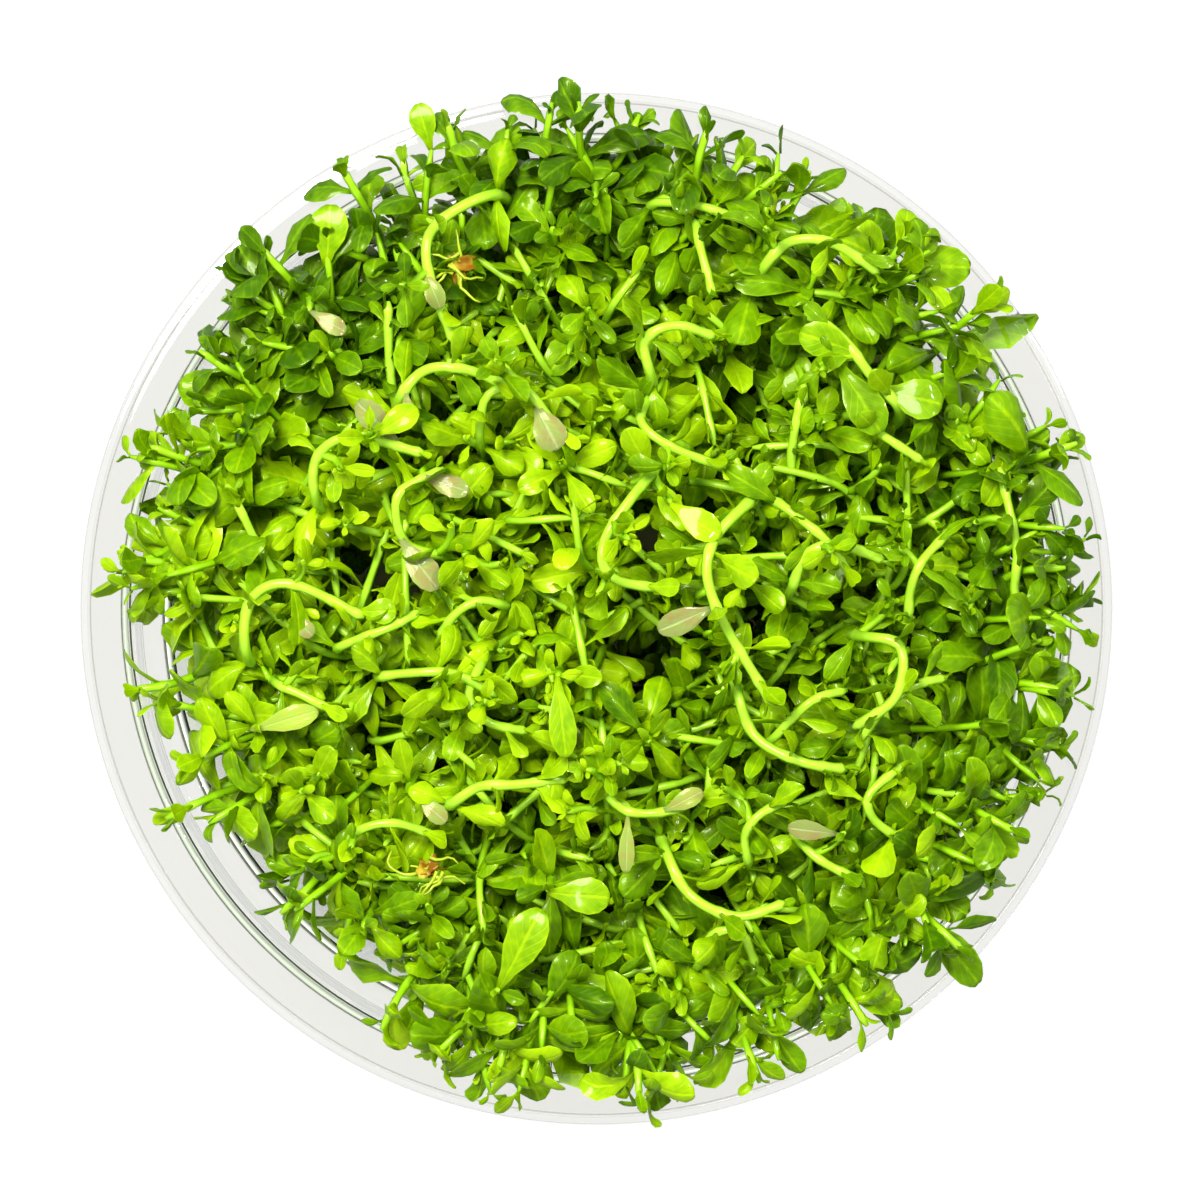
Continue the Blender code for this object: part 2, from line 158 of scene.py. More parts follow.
def wired(tree, node, values):
    """The node with its inputs set from a table of (name or number: number, colour or output)."""
    for label, given in values.items():
        put(tree, node.inputs[label], given)
    return node


def value_of(tree, operation, *inputs, clamp=False):
    """The output of a Math node on numbers or other nodes' outputs."""
    node = add_node(tree, "ShaderNodeMath", operation=operation, use_clamp=clamp)
    return wired(tree, node, dict(enumerate(inputs))).outputs[0]


def plus(tree, base, *weighted):
    """The base plus value times weight, for each (value, weight)."""
    for value, weight in weighted:
        base = value_of(tree, "ADD", base, value_of(tree, "MULTIPLY", value, weight))
    return base


def mapped(tree, value, low, high, to_low=0.0, to_high=1.0, kind="LINEAR"):
    """The value carried over from low..high to to_low..to_high, and held at both ends."""
    node = add_node(tree, "ShaderNodeMapRange", interpolation_type=kind)
    return wired(tree, node, dict(enumerate((value, low, high, to_low, to_high)))).outputs[0]


def smooth_step(tree, value, low, high):
    """0 below low and 1 above high, with a smooth rise between them."""
    return mapped(tree, value, low, high, kind="SMOOTHSTEP")


def mixed_colour(tree, share, first, second):
    """The first colour where share is 0 and the second where it is 1."""
    node = add_node(tree, "ShaderNodeMix", data_type="RGBA")
    return wired(tree, node, {0: share, 6: first, 7: second}).outputs[2]


def noise(tree, vector, scale):
    """Soft noise from 0 to 1 that changes about scale times a metre."""
    node = add_node(tree, "ShaderNodeTexNoise")
    return wired(tree, node, {"Vector": vector, "Scale": scale, "Detail": 1.0}).outputs["Fac"]


def ramp(tree, value, stops):
    """A colour ramp through (position, colour) stops."""
    node = wired(tree, add_node(tree, "ShaderNodeValToRGB"), {"Fac": value})
    elements = node.color_ramp.elements
    while len(elements) < len(stops):
        elements.new(0.5)
    for element, (position, colour) in zip(elements, stops):
        element.position = position
        element.color = (*colour, 1.0)
    return node.outputs["Color"]


def split(tree, vector):
    """The x, y and z outputs of a vector."""
    return wired(tree, add_node(tree, "ShaderNodeSeparateXYZ"), {0: vector}).outputs


def new_material(name):
    """An empty material, its tree and the shader in it."""
    material = bpy.data.materials.new(name)
    material.use_nodes = True
    return material, material.node_tree, material.node_tree.nodes["Principled BSDF"]


def show(tree, share, first, second):
    """The mix of two shaders becomes the material's surface."""
    blend = wired(tree, add_node(tree, "ShaderNodeMixShader"), {0: share, 1: first, 2: second})
    put(tree, tree.nodes["Material Output"].inputs["Surface"], blend.outputs[0])


print("node helpers ready")

# %% [markdown]
# ## Camera and lamps
# The photograph is a product shot from straight above on pure white, so the camera hangs 600 mm
# over the rim and looks down. A long lens keeps the leaning shoots from spreading. One large soft
# lamp above the top left makes the small wet glints, and the pale surround does the rest.

# %% Camera and lamps
CAMERA_RISE = 600 * MM
VIEW_WIDTH = 116.2 * MM
SENSOR = 36
VIEW_CENTRE = (0.35 * MM, 0.83 * MM)
LAMP_AIM = (0.0, 0.0, 40 * MM)
# Name, place and size in metres, and watts
LAMPS = (
    ("soft_lamp", (-0.15, 0.20, 0.64), 0.20, 7.7),
    ("glint_lamp", (0.30, 0.16, 0.60), 0.05, 1.8),
)

camera_data = bpy.data.cameras.new("view_from_above")
camera_data.sensor_width = SENSOR
camera_data.lens = SENSOR * CAMERA_RISE / VIEW_WIDTH
camera = bpy.data.objects.new("view_from_above", camera_data)
camera.location = (*VIEW_CENTRE, CUP_HEIGHT + CAMERA_RISE)
bpy.context.scene.collection.objects.link(camera)
bpy.context.scene.camera = camera


def area_lamp(name, place, size, watts):
    """A square soft lamp at a place, turned to face LAMP_AIM."""
    lamp = bpy.data.lights.new(name, "AREA")
    lamp.size = size
    lamp.energy = watts
    lit = bpy.data.objects.new(name, lamp)
    lit.location = place
    way = np.array(LAMP_AIM) - np.array(place)
    tilt = math.atan2(math.hypot(way[0], way[1]), -way[2])
    lit.rotation_euler = (tilt, 0.0, math.atan2(way[1], way[0]) - math.pi / 2)
    bpy.context.scene.collection.objects.link(lit)


for lamp in LAMPS:
    area_lamp(*lamp)
bpy.context.scene.view_settings.view_transform = "Standard"
bpy.context.scene.view_settings.look = "None"
print("camera", [round(value, 4) for value in camera.location], "lens", round(camera_data.lens, 1))

# %% [markdown]
# ## The white round it
# The backdrop is the world itself. At one strength it would either look grey or wash the plants
# out, so its strength depends on the kind of ray: white where the camera sees it, also through
# the clear cup, and dimmer for the light that it gives and for what mirrors it.

# %% Sky
HORIZON, ZENITH = (0.985, 0.985, 0.985), (1.0, 1.0, 1.0)
SEEN_SKY, LIGHT_FROM_ABOVE, LIGHT_FROM_ASIDE = 1.0, 0.48, 0.90
# Height of a direction, as a share of its length, from which light counts as from above
ABOVE = 0.8

world = bpy.data.worlds.new("pale_studio")
world.use_nodes = True
bpy.context.scene.world = world
sky = world.node_tree
height = split(sky, add_node(sky, "ShaderNodeTexCoord").outputs["Generated"])["Z"]
rays = add_node(sky, "ShaderNodeLightPath").outputs
mirrored = value_of(sky, "SUBTRACT", rays["Is Glossy Ray"], rays["Is Transmission Ray"])
dimmed = value_of(sky, "MAXIMUM", rays["Is Diffuse Ray"], mirrored)
light = mapped(sky, height, 0.0, ABOVE, LIGHT_FROM_ASIDE, LIGHT_FROM_ABOVE)
wired(sky, sky.nodes["Background"], {
    "Color": ramp(sky, height, ((0.0, HORIZON), (0.5, ZENITH))),
    "Strength": mapped(sky, dimmed, 0.0, 1.0, SEEN_SKY, light),
})
print("sky ready")

# %% [markdown]
# ## Leaf tissue
# A rotala leaf is thin, moist and juicy: a pale midrib, faint side veins, a painted highlight
# along its rim, and a green that runs from deep bottle green in the shade to yellow lime on young
# tips.
# Each leaf carries its own tone in a second UV map, so one material serves thousands of leaves.
# A few leaves show a pale grey-green, slightly pink underside.

# %% Leaf colour group
DEEP_GREEN = (0.045, 0.130, 0.001)
LEAF_GREEN = (0.163, 0.345, 0.001)
LIGHT_GREEN = (0.355, 0.570, 0.002)
LIME = (0.470, 0.720, 0.005)
WET_SHINE = (0.80, 1.0, 0.12)
PALE_UNDERSIDE = (0.25, 0.31, 0.08)
PALE_PINK = (0.28, 0.235, 0.08)
PALE_MIDRIB = (0.46, 0.50, 0.24)
MOTTLE, MOTTLE_SCALE = 0.46, 900.0
# How much lighter each makes the tissue; at the rim this is a painted highlight
MIDRIB_LIGHT, VEIN_LIGHT, PAINTED_RIM_HIGHLIGHT, FOOT_LIGHT = 0.20, 0.09, 0.12, 0.15
VEIN_SLANT, VEIN_WAVES = 0.32, 44.0
MIDRIB_DEPTH, VEIN_DEPTH = -0.6, -0.15
RELIEF = 0.12 * MM
PLAIN_ROUGHNESS = 0.4
TISSUE_IOR = 1.42


def uv_split(tree, name):
    """The two parts of a named UV map."""
    return split(tree, add_node(tree, "ShaderNodeUVMap", uv_map=name).outputs["UV"])[:2]


def give_out(tree, values):
    """Gives the group an output for each named value, of the value's own kind."""
    kinds = {"RGBA": "NodeSocketColor", "VALUE": "NodeSocketFloat"}
    for label, value in values.items():
        tree.interface.new_socket(label, in_out="OUTPUT", socket_type=kinds[value.type])
    wired(tree, add_node(tree, "NodeGroupOutput"), values)
    return tree


def leaf_group():
    """Colour, roughness and bump height of a leaf from its own two UV maps, with a painted highlight
    along its rim.
    """
    tree = bpy.data.node_groups.new("leaf_tissue", "ShaderNodeTree")
    across, along = uv_split(tree, "blade")
    tone, kind = uv_split(tree, "tone")
    place = add_node(tree, "ShaderNodeTexCoord").outputs["Object"]
    off = value_of(tree, "ABSOLUTE", value_of(tree, "SUBTRACT", across, 0.5))
    off = value_of(tree, "MULTIPLY", off, 2.0)
    midrib = value_of(tree, "SUBTRACT", 1.0, smooth_step(tree, off, 0.03, 0.16))
    slant = plus(tree, along, (off, -VEIN_SLANT))
    wave = value_of(tree, "SINE", value_of(tree, "MULTIPLY", slant, VEIN_WAVES))
    veins = smooth_step(tree, wave, 0.72, 1.0)
    # Painted highlight: the outer fifth of each half of the blade is made lighter, as light caught at
    # the rim would
    edge = smooth_step(tree, off, 0.80, 1.0)
    foot = value_of(tree, "SUBTRACT", 1.0, smooth_step(tree, along, 0.0, 0.35))
    blotch = noise(tree, place, MOTTLE_SCALE)
    mottle = value_of(tree, "SUBTRACT", blotch, 0.5)
    shade = plus(
        tree, tone, (mottle, MOTTLE), (midrib, MIDRIB_LIGHT), (veins, VEIN_LIGHT),
        (edge, PAINTED_RIM_HIGHLIGHT), (foot, FOOT_LIGHT),
    )
    stops = ((0.0, DEEP_GREEN), (0.36, LEAF_GREEN), (0.70, LIGHT_GREEN), (1.0, LIME))
    pale = mixed_colour(tree, smooth_step(tree, blotch, 0.42, 0.66), PALE_UNDERSIDE, PALE_PINK)
    pale = mixed_colour(tree, value_of(tree, "MULTIPLY", midrib, 0.5), pale, PALE_MIDRIB)
    colour = mixed_colour(tree, kind, ramp(tree, shade, stops), pale)
    relief = value_of(tree, "MULTIPLY", midrib, MIDRIB_DEPTH)
    return give_out(tree, {
        "Color": colour,
        "Glow": mixed_colour(tree, 0.45, colour, LIME),
        "Roughness": plus(tree, 0.26, (blotch, 0.26)),
        "Height": plus(tree, relief, (veins, VEIN_DEPTH)),
    })


def tissue_material(name, group, plain, through, coat, coat_roughness, bump=0.0):
    """Principled tissue with a little light let through, coloured by a group."""
    material, tree, shader = new_material(name)
    tissue = add_node(tree, "ShaderNodeGroup")
    tissue.node_tree = group
    wired(tree, shader, {"Base Color": plain, "Roughness": PLAIN_ROUGHNESS})
    wired(tree, shader, {
        "Base Color": tissue.outputs["Color"], "Roughness": tissue.outputs["Roughness"],
        "IOR": TISSUE_IOR, "Specular Tint": WET_SHINE,
        "Coat Weight": coat, "Coat Roughness": coat_roughness,
    })
    if bump:
        relief = wired(tree, add_node(tree, "ShaderNodeBump"), {
            "Strength": bump, "Distance": RELIEF, "Height": tissue.outputs["Height"],
        })
        put(tree, shader.inputs["Normal"], relief.outputs["Normal"])
    glow = add_node(tree, "ShaderNodeBsdfTranslucent")
    put(tree, glow.inputs["Color"], tissue.outputs["Glow"])
    show(tree, through, shader.outputs[0], glow.outputs[0])
    return material


leaf_material = tissue_material("leaf_green", leaf_group(), LEAF_GREEN, 0.30, 0.16, 0.07, bump=0.6)
print("material", leaf_material.name)

# %% [markdown]
# ## Stem tissue
# The stems are the brightest thing in the cup: smooth, juicy and almost see-through, lime with a
# painted highlight where they face up, and paler at each node. The stem's UV map runs round it and
# along it.

# %% Stem colour group
STEM_SHADE = (0.13, 0.31, 0.002)
STEM_LIME = (0.28, 0.58, 0.004)
STEM_BRIGHT = (0.48, 0.82, 0.045)
ROOT_TAN = (0.56, 0.42, 0.03)
WITHERED_BROWN = (0.26, 0.095, 0.004)
STREAK, STREAK_SCALE = 0.24, 700.0
# The third value is a painted highlight: how much lighter a stem is made where it faces up
RIB, RIBS, PAINTED_TOP_HIGHLIGHT, STEM_DEPTH = 0.05, 4, 0.18, 0.20


def stem_group():
    """Colour and roughness of a stem, with a painted highlight where it faces up; kind 1 is a root or
    dead tissue.
    """
    tree = bpy.data.node_groups.new("stem_tissue", "ShaderNodeTree")
    around = uv_split(tree, "blade")[0]
    tone, kind = uv_split(tree, "tone")
    streak = noise(tree, add_node(tree, "ShaderNodeTexCoord").outputs["Object"], STREAK_SCALE)
    rib = value_of(tree, "SINE", value_of(tree, "MULTIPLY", around, RIBS * 2 * math.pi))
    # Painted highlight: where the surface faces up the stem is made lighter, as light from above
    # would
    facing = split(tree, add_node(tree, "ShaderNodeNewGeometry").outputs["Normal"])["Z"]
    painted_top_light = smooth_step(tree, facing, 0.35, 0.95)
    shade = plus(tree, tone, (streak, STREAK), (rib, RIB), (painted_top_light, PAINTED_TOP_HIGHLIGHT))
    shade = value_of(tree, "SUBTRACT", shade, STEM_DEPTH)
    green = ramp(tree, shade, ((0.0, STEM_SHADE), (0.55, STEM_LIME), (1.0, STEM_BRIGHT)))
    dead = mixed_colour(tree, smooth_step(tree, streak, 0.35, 0.65), ROOT_TAN, WITHERED_BROWN)
    colour = mixed_colour(tree, kind, green, dead)
    return give_out(tree, {
        "Color": colour,
        "Glow": mixed_colour(tree, 0.35, colour, STEM_BRIGHT),
        "Roughness": plus(tree, 0.22, (streak, 0.2)),
    })


stem_material = tissue_material("stem_lime", stem_group(), STEM_LIME, 0.26, 0.42, 0.16)
print("material", stem_material.name)

# %% [markdown]
# ## Clear plastic and gel
# The cup is thin clear plastic and the gel a cloudy jelly. Both are glass-like: light passes and
# bends by the index of refraction. Real light also focuses through them onto the plants, which a
# path tracer finds hard, so for shadows alone they count as fully clear.

# %% See-through materials
# Index of refraction, roughness and transmission
PLASTIC = (1.49, 0.02, 1.0)
GEL, PAINTED_SHADE_GEL_TOP = (1.34, 0.22, 0.70), (1.34, 0.50, 0.12)
# Colour of the painted glow that the clear plastic gives off
PAINTED_GLOW_GREEN = (0.92, 1.0, 0.84)
CLEAR_SHADOW = (0.98, 0.98, 0.97)


def clear_material(name, colour, ior, roughness, transmission, shadow, painted_edge_glow=0.0, painted_inner_glow=0.0):
    """Principled transmission, with the shadow rays let through. A faint emission is painted glow for
    light that a moulding gathers and leaks at its edges; it adds up where a ray bounces often, and
    the last argument is the strength of the painted glow that only rays running along inside it meet."""
    material, tree, shader = new_material(name)
    wired(tree, shader, {
        "Base Color": colour, "Roughness": roughness, "IOR": ior,
        "Transmission Weight": transmission, "Emission Color": PAINTED_GLOW_GREEN,
        "Emission Strength": painted_edge_glow,
    })
    if painted_inner_glow:
        # Painted glow: emission on the inside faces, seen along the plastic, so the rings there don't
        # go dark
        facing = add_node(tree, "ShaderNodeLayerWeight").outputs["Facing"]
        along_face = smooth_step(tree, facing, 0.40, 0.80)
        inside = add_node(tree, "ShaderNodeNewGeometry").outputs["Backfacing"]
        painted_glow = value_of(tree, "MULTIPLY", along_face, value_of(tree, "MULTIPLY", inside, painted_inner_glow))
        painted_glow = value_of(tree, "ADD", painted_glow, painted_edge_glow)
        put(tree, shader.inputs["Emission Strength"], painted_glow)
    shadow_free = add_node(tree, "ShaderNodeBsdfTransparent")
    put(tree, shadow_free.inputs["Color"], shadow)
    in_shadow = add_node(tree, "ShaderNodeLightPath").outputs["Is Shadow Ray"]
    show(tree, in_shadow, shader.outputs[0], shadow_free.outputs[0])
    material.cycles.emission_sampling = "NONE"
    return material


# Each plastic gives off a faint painted glow: the rim's is partly even and partly along its inside,
# the wall's and step's only along their inside
plastics = [
    clear_material("clear_rim", (0.745, 0.735, 0.71), *PLASTIC, (0.97, 0.97, 0.96), 0.045, 0.30),
    clear_material("clear_wall", (0.95, 0.95, 0.94), *PLASTIC, CLEAR_SHADOW, painted_inner_glow=0.42),
    clear_material("clear_step", (0.95, 0.95, 0.93), *PLASTIC, CLEAR_SHADOW, painted_inner_glow=0.34),
]
gels = [
    clear_material("cloudy_gel", (0.74, 0.71, 0.50), *GEL, (0.90, 0.87, 0.72)),
    # The gel's top is near black and barely clear: painted shade of the plants over it, with some
    # stain
    clear_material("stained_gel_top", (0.05, 0.07, 0.012), *PAINTED_SHADE_GEL_TOP, (0.70, 0.72, 0.45)),
]
print("materials", [material.name for material in plastics + gels])

# %% [markdown]
# ## Surfaces as arrays
# Every piece is worked out with whole arrays: a grid of points, the four-cornered faces between
# them, and for each point a place on its own surface (the blade map) and a tone. One function
# then turns a list of such surfaces into a mesh.

# %% Surface helpers
Surface = namedtuple("Surface", "points faces blade tone slot crisp")


def grid_faces(rows, columns, closed):
    """Faces between neighbouring rows of a grid; closed joins the last column to the first."""
    row = np.arange(rows - 1)[:, None] * columns
    column = np.arange(columns if closed else columns - 1)[None, :]
    after = (column + 1) % columns
    corners = (row + column, row + after, row + columns + after, row + columns + column)
    return np.stack(corners, axis=-1).reshape(-1, 4)


def mark_margins(mesh, crisp):
    """An edge between two points that carry the same mark over 0 is a leaf's margin, and sharp."""
    ends = np.empty(2 * len(mesh.edges), dtype=np.int32)
    mesh.edges.foreach_get("vertices", ends)
    first, second = crisp[ends.reshape(-1, 2)].T
    mesh.edges.foreach_set("use_edge_sharp", (first > 0) & (first == second))


def make_piece(name, surfaces, materials, node):
    """One mesh from several surfaces, set from whole arrays, that stands for a CAD node."""
    points, counts, corners, blades, tones, slots = [], [], [], [], [], []
    start = 0
    for surface in surfaces:
        points.append(surface.points)
        for faces, material in zip(surface.faces, np.broadcast_to(surface.slot, len(surface.faces))):
            counts.append(np.full(len(faces), faces.shape[1]))
            corners.append((faces + start).ravel())
            slots.append(np.full(len(faces), material))
        blades.append(surface.blade)
        tones.append(surface.tone)
        start += len(surface.points)
    points, counts, corners = (np.concatenate(part) for part in (points, counts, corners))
    mesh = bpy.data.meshes.new(name)
    mesh.vertices.add(len(points))
    mesh.vertices.foreach_set("co", points.astype(np.float32).ravel())
    mesh.loops.add(len(corners))
    mesh.loops.foreach_set("vertex_index", corners.astype(np.int32))
    mesh.polygons.add(len(counts))
    starts = np.concatenate(([0], np.cumsum(counts)[:-1]))
    mesh.polygons.foreach_set("loop_start", starts.astype(np.int32))
    mesh.polygons.foreach_set("material_index", np.concatenate(slots).astype(np.int32))
    mesh.polygons.foreach_set("use_smooth", np.ones(len(counts), dtype=bool))
    for label, values in (("blade", blades), ("tone", tones)):
        layer = mesh.uv_layers.new(name=label)
        held = np.concatenate(values)[corners]
        layer.data.foreach_set("uv", held.astype(np.float32).ravel())
    mesh.update(calc_edges=True)
    mesh.validate()
    mark_margins(mesh, np.concatenate([surface.crisp for surface in surfaces]))
    for material in materials:
        mesh.materials.append(material)
    piece = bpy.data.objects.new(name, mesh)
    bpy.context.scene.collection.objects.link(piece)
    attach(piece, "root")
    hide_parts(node)
    return piece


print("surface helpers ready")

# %% [markdown]
# ## The cup
# The cup is turned: one profile carried round the axis. It tapers up to a ledge, steps out, rises
# to the rim and ends in a flange with a rounded, turned-down lip. The corners are rounded, because
# a moulded edge is what draws the thin grey and bright rings in the photograph.

# %% Turn the cup and the gel
TURN_STEPS = 192


def inner_radius(height):
    """Radius of the cup's inner wall at a height on its tapered body."""
    share = (height - BODY_FOOT_HEIGHT) / (LEDGE_HEIGHT - BODY_FOOT_HEIGHT)
    return BODY_FOOT_RADIUS + share * (BODY_TOP_RADIUS - BODY_FOOT_RADIUS) - WALL


def rounded(corners, steps=5):
    """A profile whose inner corners are cut by arcs: each (radius, height, rounding) becomes a
    quadratic curve that starts and ends at its rounding's distance from the corner."""
    profile = [np.array(corners[0][:2])[None]]
    for before, here, after in zip(corners, corners[1:], corners[2:]):
        a, b, c = (np.array(corner[:2]) for corner in (before, here, after))
        start = b + (a - b) / np.linalg.norm(a - b) * here[2]
        end = b + (c - b) / np.linalg.norm(c - b) * here[2]
        t = np.linspace(0, 1, steps)[:, None] if here[2] else np.zeros((1, 1))
        profile.append(start * (1 - t) ** 2 + b * 2 * t * (1 - t) + end * t**2)
    profile.append(np.array(corners[-1][:2])[None])
    return np.vstack(profile)


def turned(profile, slot_of):
    """The profile's (radius, height) carried round the axis; both ends lie on the axis. The band
    between two rings has the material that slot_of gives for its middle."""
    angle = np.arange(TURN_STEPS) * 2 * math.pi / TURN_STEPS
    radius, height = profile[1:-1, 0:1], profile[1:-1, 1:2]
    ring = np.stack((radius * np.cos(angle), radius * np.sin(angle), height + 0 * angle), axis=-1)
    points = np.vstack((ring.reshape(-1, 3), (0, 0, profile[0, 1]), (0, 0, profile[-1, 1])))
    rows = len(profile) - 2
    around = np.arange(TURN_STEPS)
    after = (around + 1) % TURN_STEPS
    first, last = rows * TURN_STEPS, rows * TURN_STEPS + 1
    foot = (rows - 1) * TURN_STEPS
    caps = (
        np.stack((np.full_like(around, first), after, around), axis=-1)[:, ::-1],
        np.stack((np.full_like(around, last), foot + around, foot + after), axis=-1)[:, ::-1],
    )
    flat = np.zeros((len(points), 2))
    bands = grid_faces(rows, TURN_STEPS, True)[:, ::-1].reshape(rows - 1, TURN_STEPS, 4)
    middles = (*(profile[1:-2] + profile[2:-1]) / 2, profile[0], profile[-1])
    slots = [slot_of(radius, height) for radius, height in middles]
    return Surface(points, (*bands, *caps), flat, flat, slots, np.zeros(len(points)))


STEP_FOOT = LEDGE_RADIUS + WALL
STEP_TOP = FLANGE_RADIUS - FLANGE_WIDTH
FOOT_CORNER = inner_radius(BODY_FOOT_HEIGHT)
# Radius, height and rounding of each corner, up the inside and down the outside
CUP_CORNERS = (
    (0.0, FLOOR, 0.0),
    (FOOT_CORNER - 0.6 * MM, FLOOR, 0.9 * MM),
    (inner_radius(LEDGE_HEIGHT), LEDGE_HEIGHT, 0.9 * MM),
    (LEDGE_RADIUS, LEDGE_HEIGHT + 0.2 * MM, 0.7 * MM),
    (STEP_TOP - WALL, CUP_HEIGHT, 0.7 * MM),
    (FLANGE_RADIUS, CUP_HEIGHT, 0.35 * MM),
    (FLANGE_RADIUS, CUP_HEIGHT - LIP_DROP, 0.2 * MM),
    (FLANGE_RADIUS - WALL, CUP_HEIGHT - LIP_DROP, 0.2 * MM),
    (FLANGE_RADIUS - WALL, CUP_HEIGHT - WALL, 0.3 * MM),
    (STEP_TOP, CUP_HEIGHT - WALL, 0.3 * MM),
    (STEP_FOOT, LEDGE_HEIGHT - WALL, 0.4 * MM),
    (BODY_TOP_RADIUS, LEDGE_HEIGHT - WALL, 0.4 * MM),
    (BODY_FOOT_RADIUS, BODY_FOOT_HEIGHT, 0.4 * MM),
    (BODY_FOOT_RADIUS - 2.4 * MM, 0.0, 0.6 * MM),
    (0.0, 0.0, 0.0),
)


def cup_slot(radius, height):
    """0 on the level ledge and flange, 2 on the step between them, 1 on the body's thin wall."""
    on_ledge = abs(height - LEDGE_HEIGHT) < 1.1 * MM and radius > BODY_TOP_RADIUS - WALL
    on_flange = height > CUP_HEIGHT - LIP_DROP and radius > STEP_TOP - WALL
    if on_ledge or on_flange:
        return 0
    return 2 if height > LEDGE_HEIGHT and radius > BODY_TOP_RADIUS else 1


def gel_slot(radius, height):
    """1 on the gel's top, which lies in the plants' shade; its near-black colour is painted shade,
    with some stain from them.
    """
    return 1 if height > GEL_TOP - 0.8 * MM and radius < inner_radius(GEL_TOP) - 1.5 * MM else 0


GEL_CLEARANCE = 0.05 * MM
GEL_CORNERS = (
    (0.0, GEL_TOP - 0.3 * MM, 0.0),
    (inner_radius(GEL_TOP) - 3 * MM, GEL_TOP - 0.3 * MM, 1.5 * MM),
    (inner_radius(GEL_TOP) - GEL_CLEARANCE, GEL_TOP + 0.5 * MM, 0.1 * MM),
    (FOOT_CORNER - GEL_CLEARANCE, BODY_FOOT_HEIGHT, 0.3 * MM),
    (FOOT_CORNER - 1.2 * MM, FLOOR + GEL_CLEARANCE, 0.5 * MM),
    (0.0, FLOOR + GEL_CLEARANCE, 0.0),
)
cup_surface = turned(rounded(CUP_CORNERS), cup_slot)
gel_surface = turned(rounded(GEL_CORNERS), gel_slot)
cup = make_piece("cup_moulding", [cup_surface], plastics, "culture_cup")
gel = make_piece("gel_layer", [gel_surface], gels, "agar_gel")
print("cup faces", len(cup.data.polygons), "gel faces", len(gel.data.polygons))

# %% [markdown]
# ## Paths of the shoots
# A shoot is a path first: a smooth curve through a few points, from the gel to its tip. The
# formulas and the seeds are the ones that made the solids, so each fine stem lies in its solid.

# %% Path formulas
def polar(bearing, radius, height):
    """The point at a bearing in radians, a distance from the axis and a height."""
    return np.array((radius * math.cos(bearing), radius * math.sin(bearing), height))


def raised(height):
    """A step straight up."""
    return np.array((0.0, 0.0, height))


def smooth_path(points):
    """Points about PATH_STEP apart on the Catmull-Rom curve through the given points: on each
    span the curve is a cubic that starts and ends along the line between its neighbours."""
    points = np.array(points)
    held = np.vstack((2 * points[0] - points[1], points, 2 * points[-1] - points[-2]))
    path = [points[:1]]
    for a, b, c, d in zip(held, held[1:], held[2:], held[3:]):
        steps = max(1, round(float(np.linalg.norm(c - b)) / PATH_STEP))
        t = np.arange(1, steps + 1)[:, None] / steps
        bend = (c - a) * t + (a * 2 - b * 5 + c * 4 - d) * t**2 + (b * 3 - a - c * 3 + d) * t**3
        path.append(b + bend * 0.5)
    return np.vstack(path)


def rim_path(tip, rng):
    """Up inside the wall, then out over the rim to the tip."""
    bearing, reach, over = math.radians(tip[0]), tip[1] * MM, tip[2] * MM
    foot = bearing + math.radians(rng.uniform(-4, 4))
    sway = math.radians(rng.uniform(-3, 3))
    root = rng.uniform(27.5, 31.0) * MM
    return smooth_path([
        polar(foot, root, ROOT_HEIGHT),
        polar(foot + sway, root + 2.2 * MM, 31 * MM),
        polar(bearing + sway, reach - 9.0 * MM, CUP_HEIGHT - 5.5 * MM),
        polar(bearing, reach - 4.2 * MM, CUP_HEIGHT + over * 0.6),
        polar(bearing, reach, CUP_HEIGHT + over),
    ])


def dome_height(x, y):
    """Height of the mass over a place: a low dome over the rim, from the middle to the edge."""
    share = min(1.0, math.hypot(x, y) / DOME_RADIUS)
    return CUP_HEIGHT + UPRIGHT_EDGE_HEIGHT + DOME * (1 - share**2)


def upright_path(tip, rng):
    """Up from the gel with a slight sway, fanning out towards the tip."""
    top = np.array((tip[0] * MM, tip[1] * MM, 0.0))
    turn = rng.uniform(0, 2 * math.pi)
    sway = polar(turn, rng.uniform(0.6, 1.6) * MM, 0.0)
    return smooth_path([
        top * 0.74 + sway * 0.5 + raised(ROOT_HEIGHT),
        top * 0.80 + sway + raised(30 * MM),
        top * 0.90 - sway * 0.6 + raised(46 * MM),
        top + raised(dome_height(top[0], top[1])),
    ])


def arch_path(points, rng):
    """Straight up between the others, then over the top through the listed points."""
    shown = [np.array((x * MM, y * MM, CUP_HEIGHT + over * MM)) for x, y, over in points]
    start = shown[0] * (1, 1, 0)
    away = start - shown[1] * (1, 1, 0)
    lean = away / np.linalg.norm(away) * rng.uniform(0.4, 1.4) * MM
    return smooth_path([
        start * 0.82 + lean + raised(ROOT_HEIGHT),
        start * 0.90 + lean * 1.3 + raised(32 * MM),
        *shown,
    ])


print("first arch ends at", arch_path(ARCHES[0], random.Random("arching_shoot_01"))[-1] / MM)

# %% [markdown]
# ## Between the main shoots
# The real cup holds a few hundred shoots, far more than a model can keep as separate solids. The
# others stand between the main ones, at places on a sunflower spiral, which spreads points evenly
# without rows. Many of them tip over at the top, because they grew long and soft in the cup.
# Those that show as bends of their own in the photograph, and the tips that hang out over the
# rim, are listed by place.

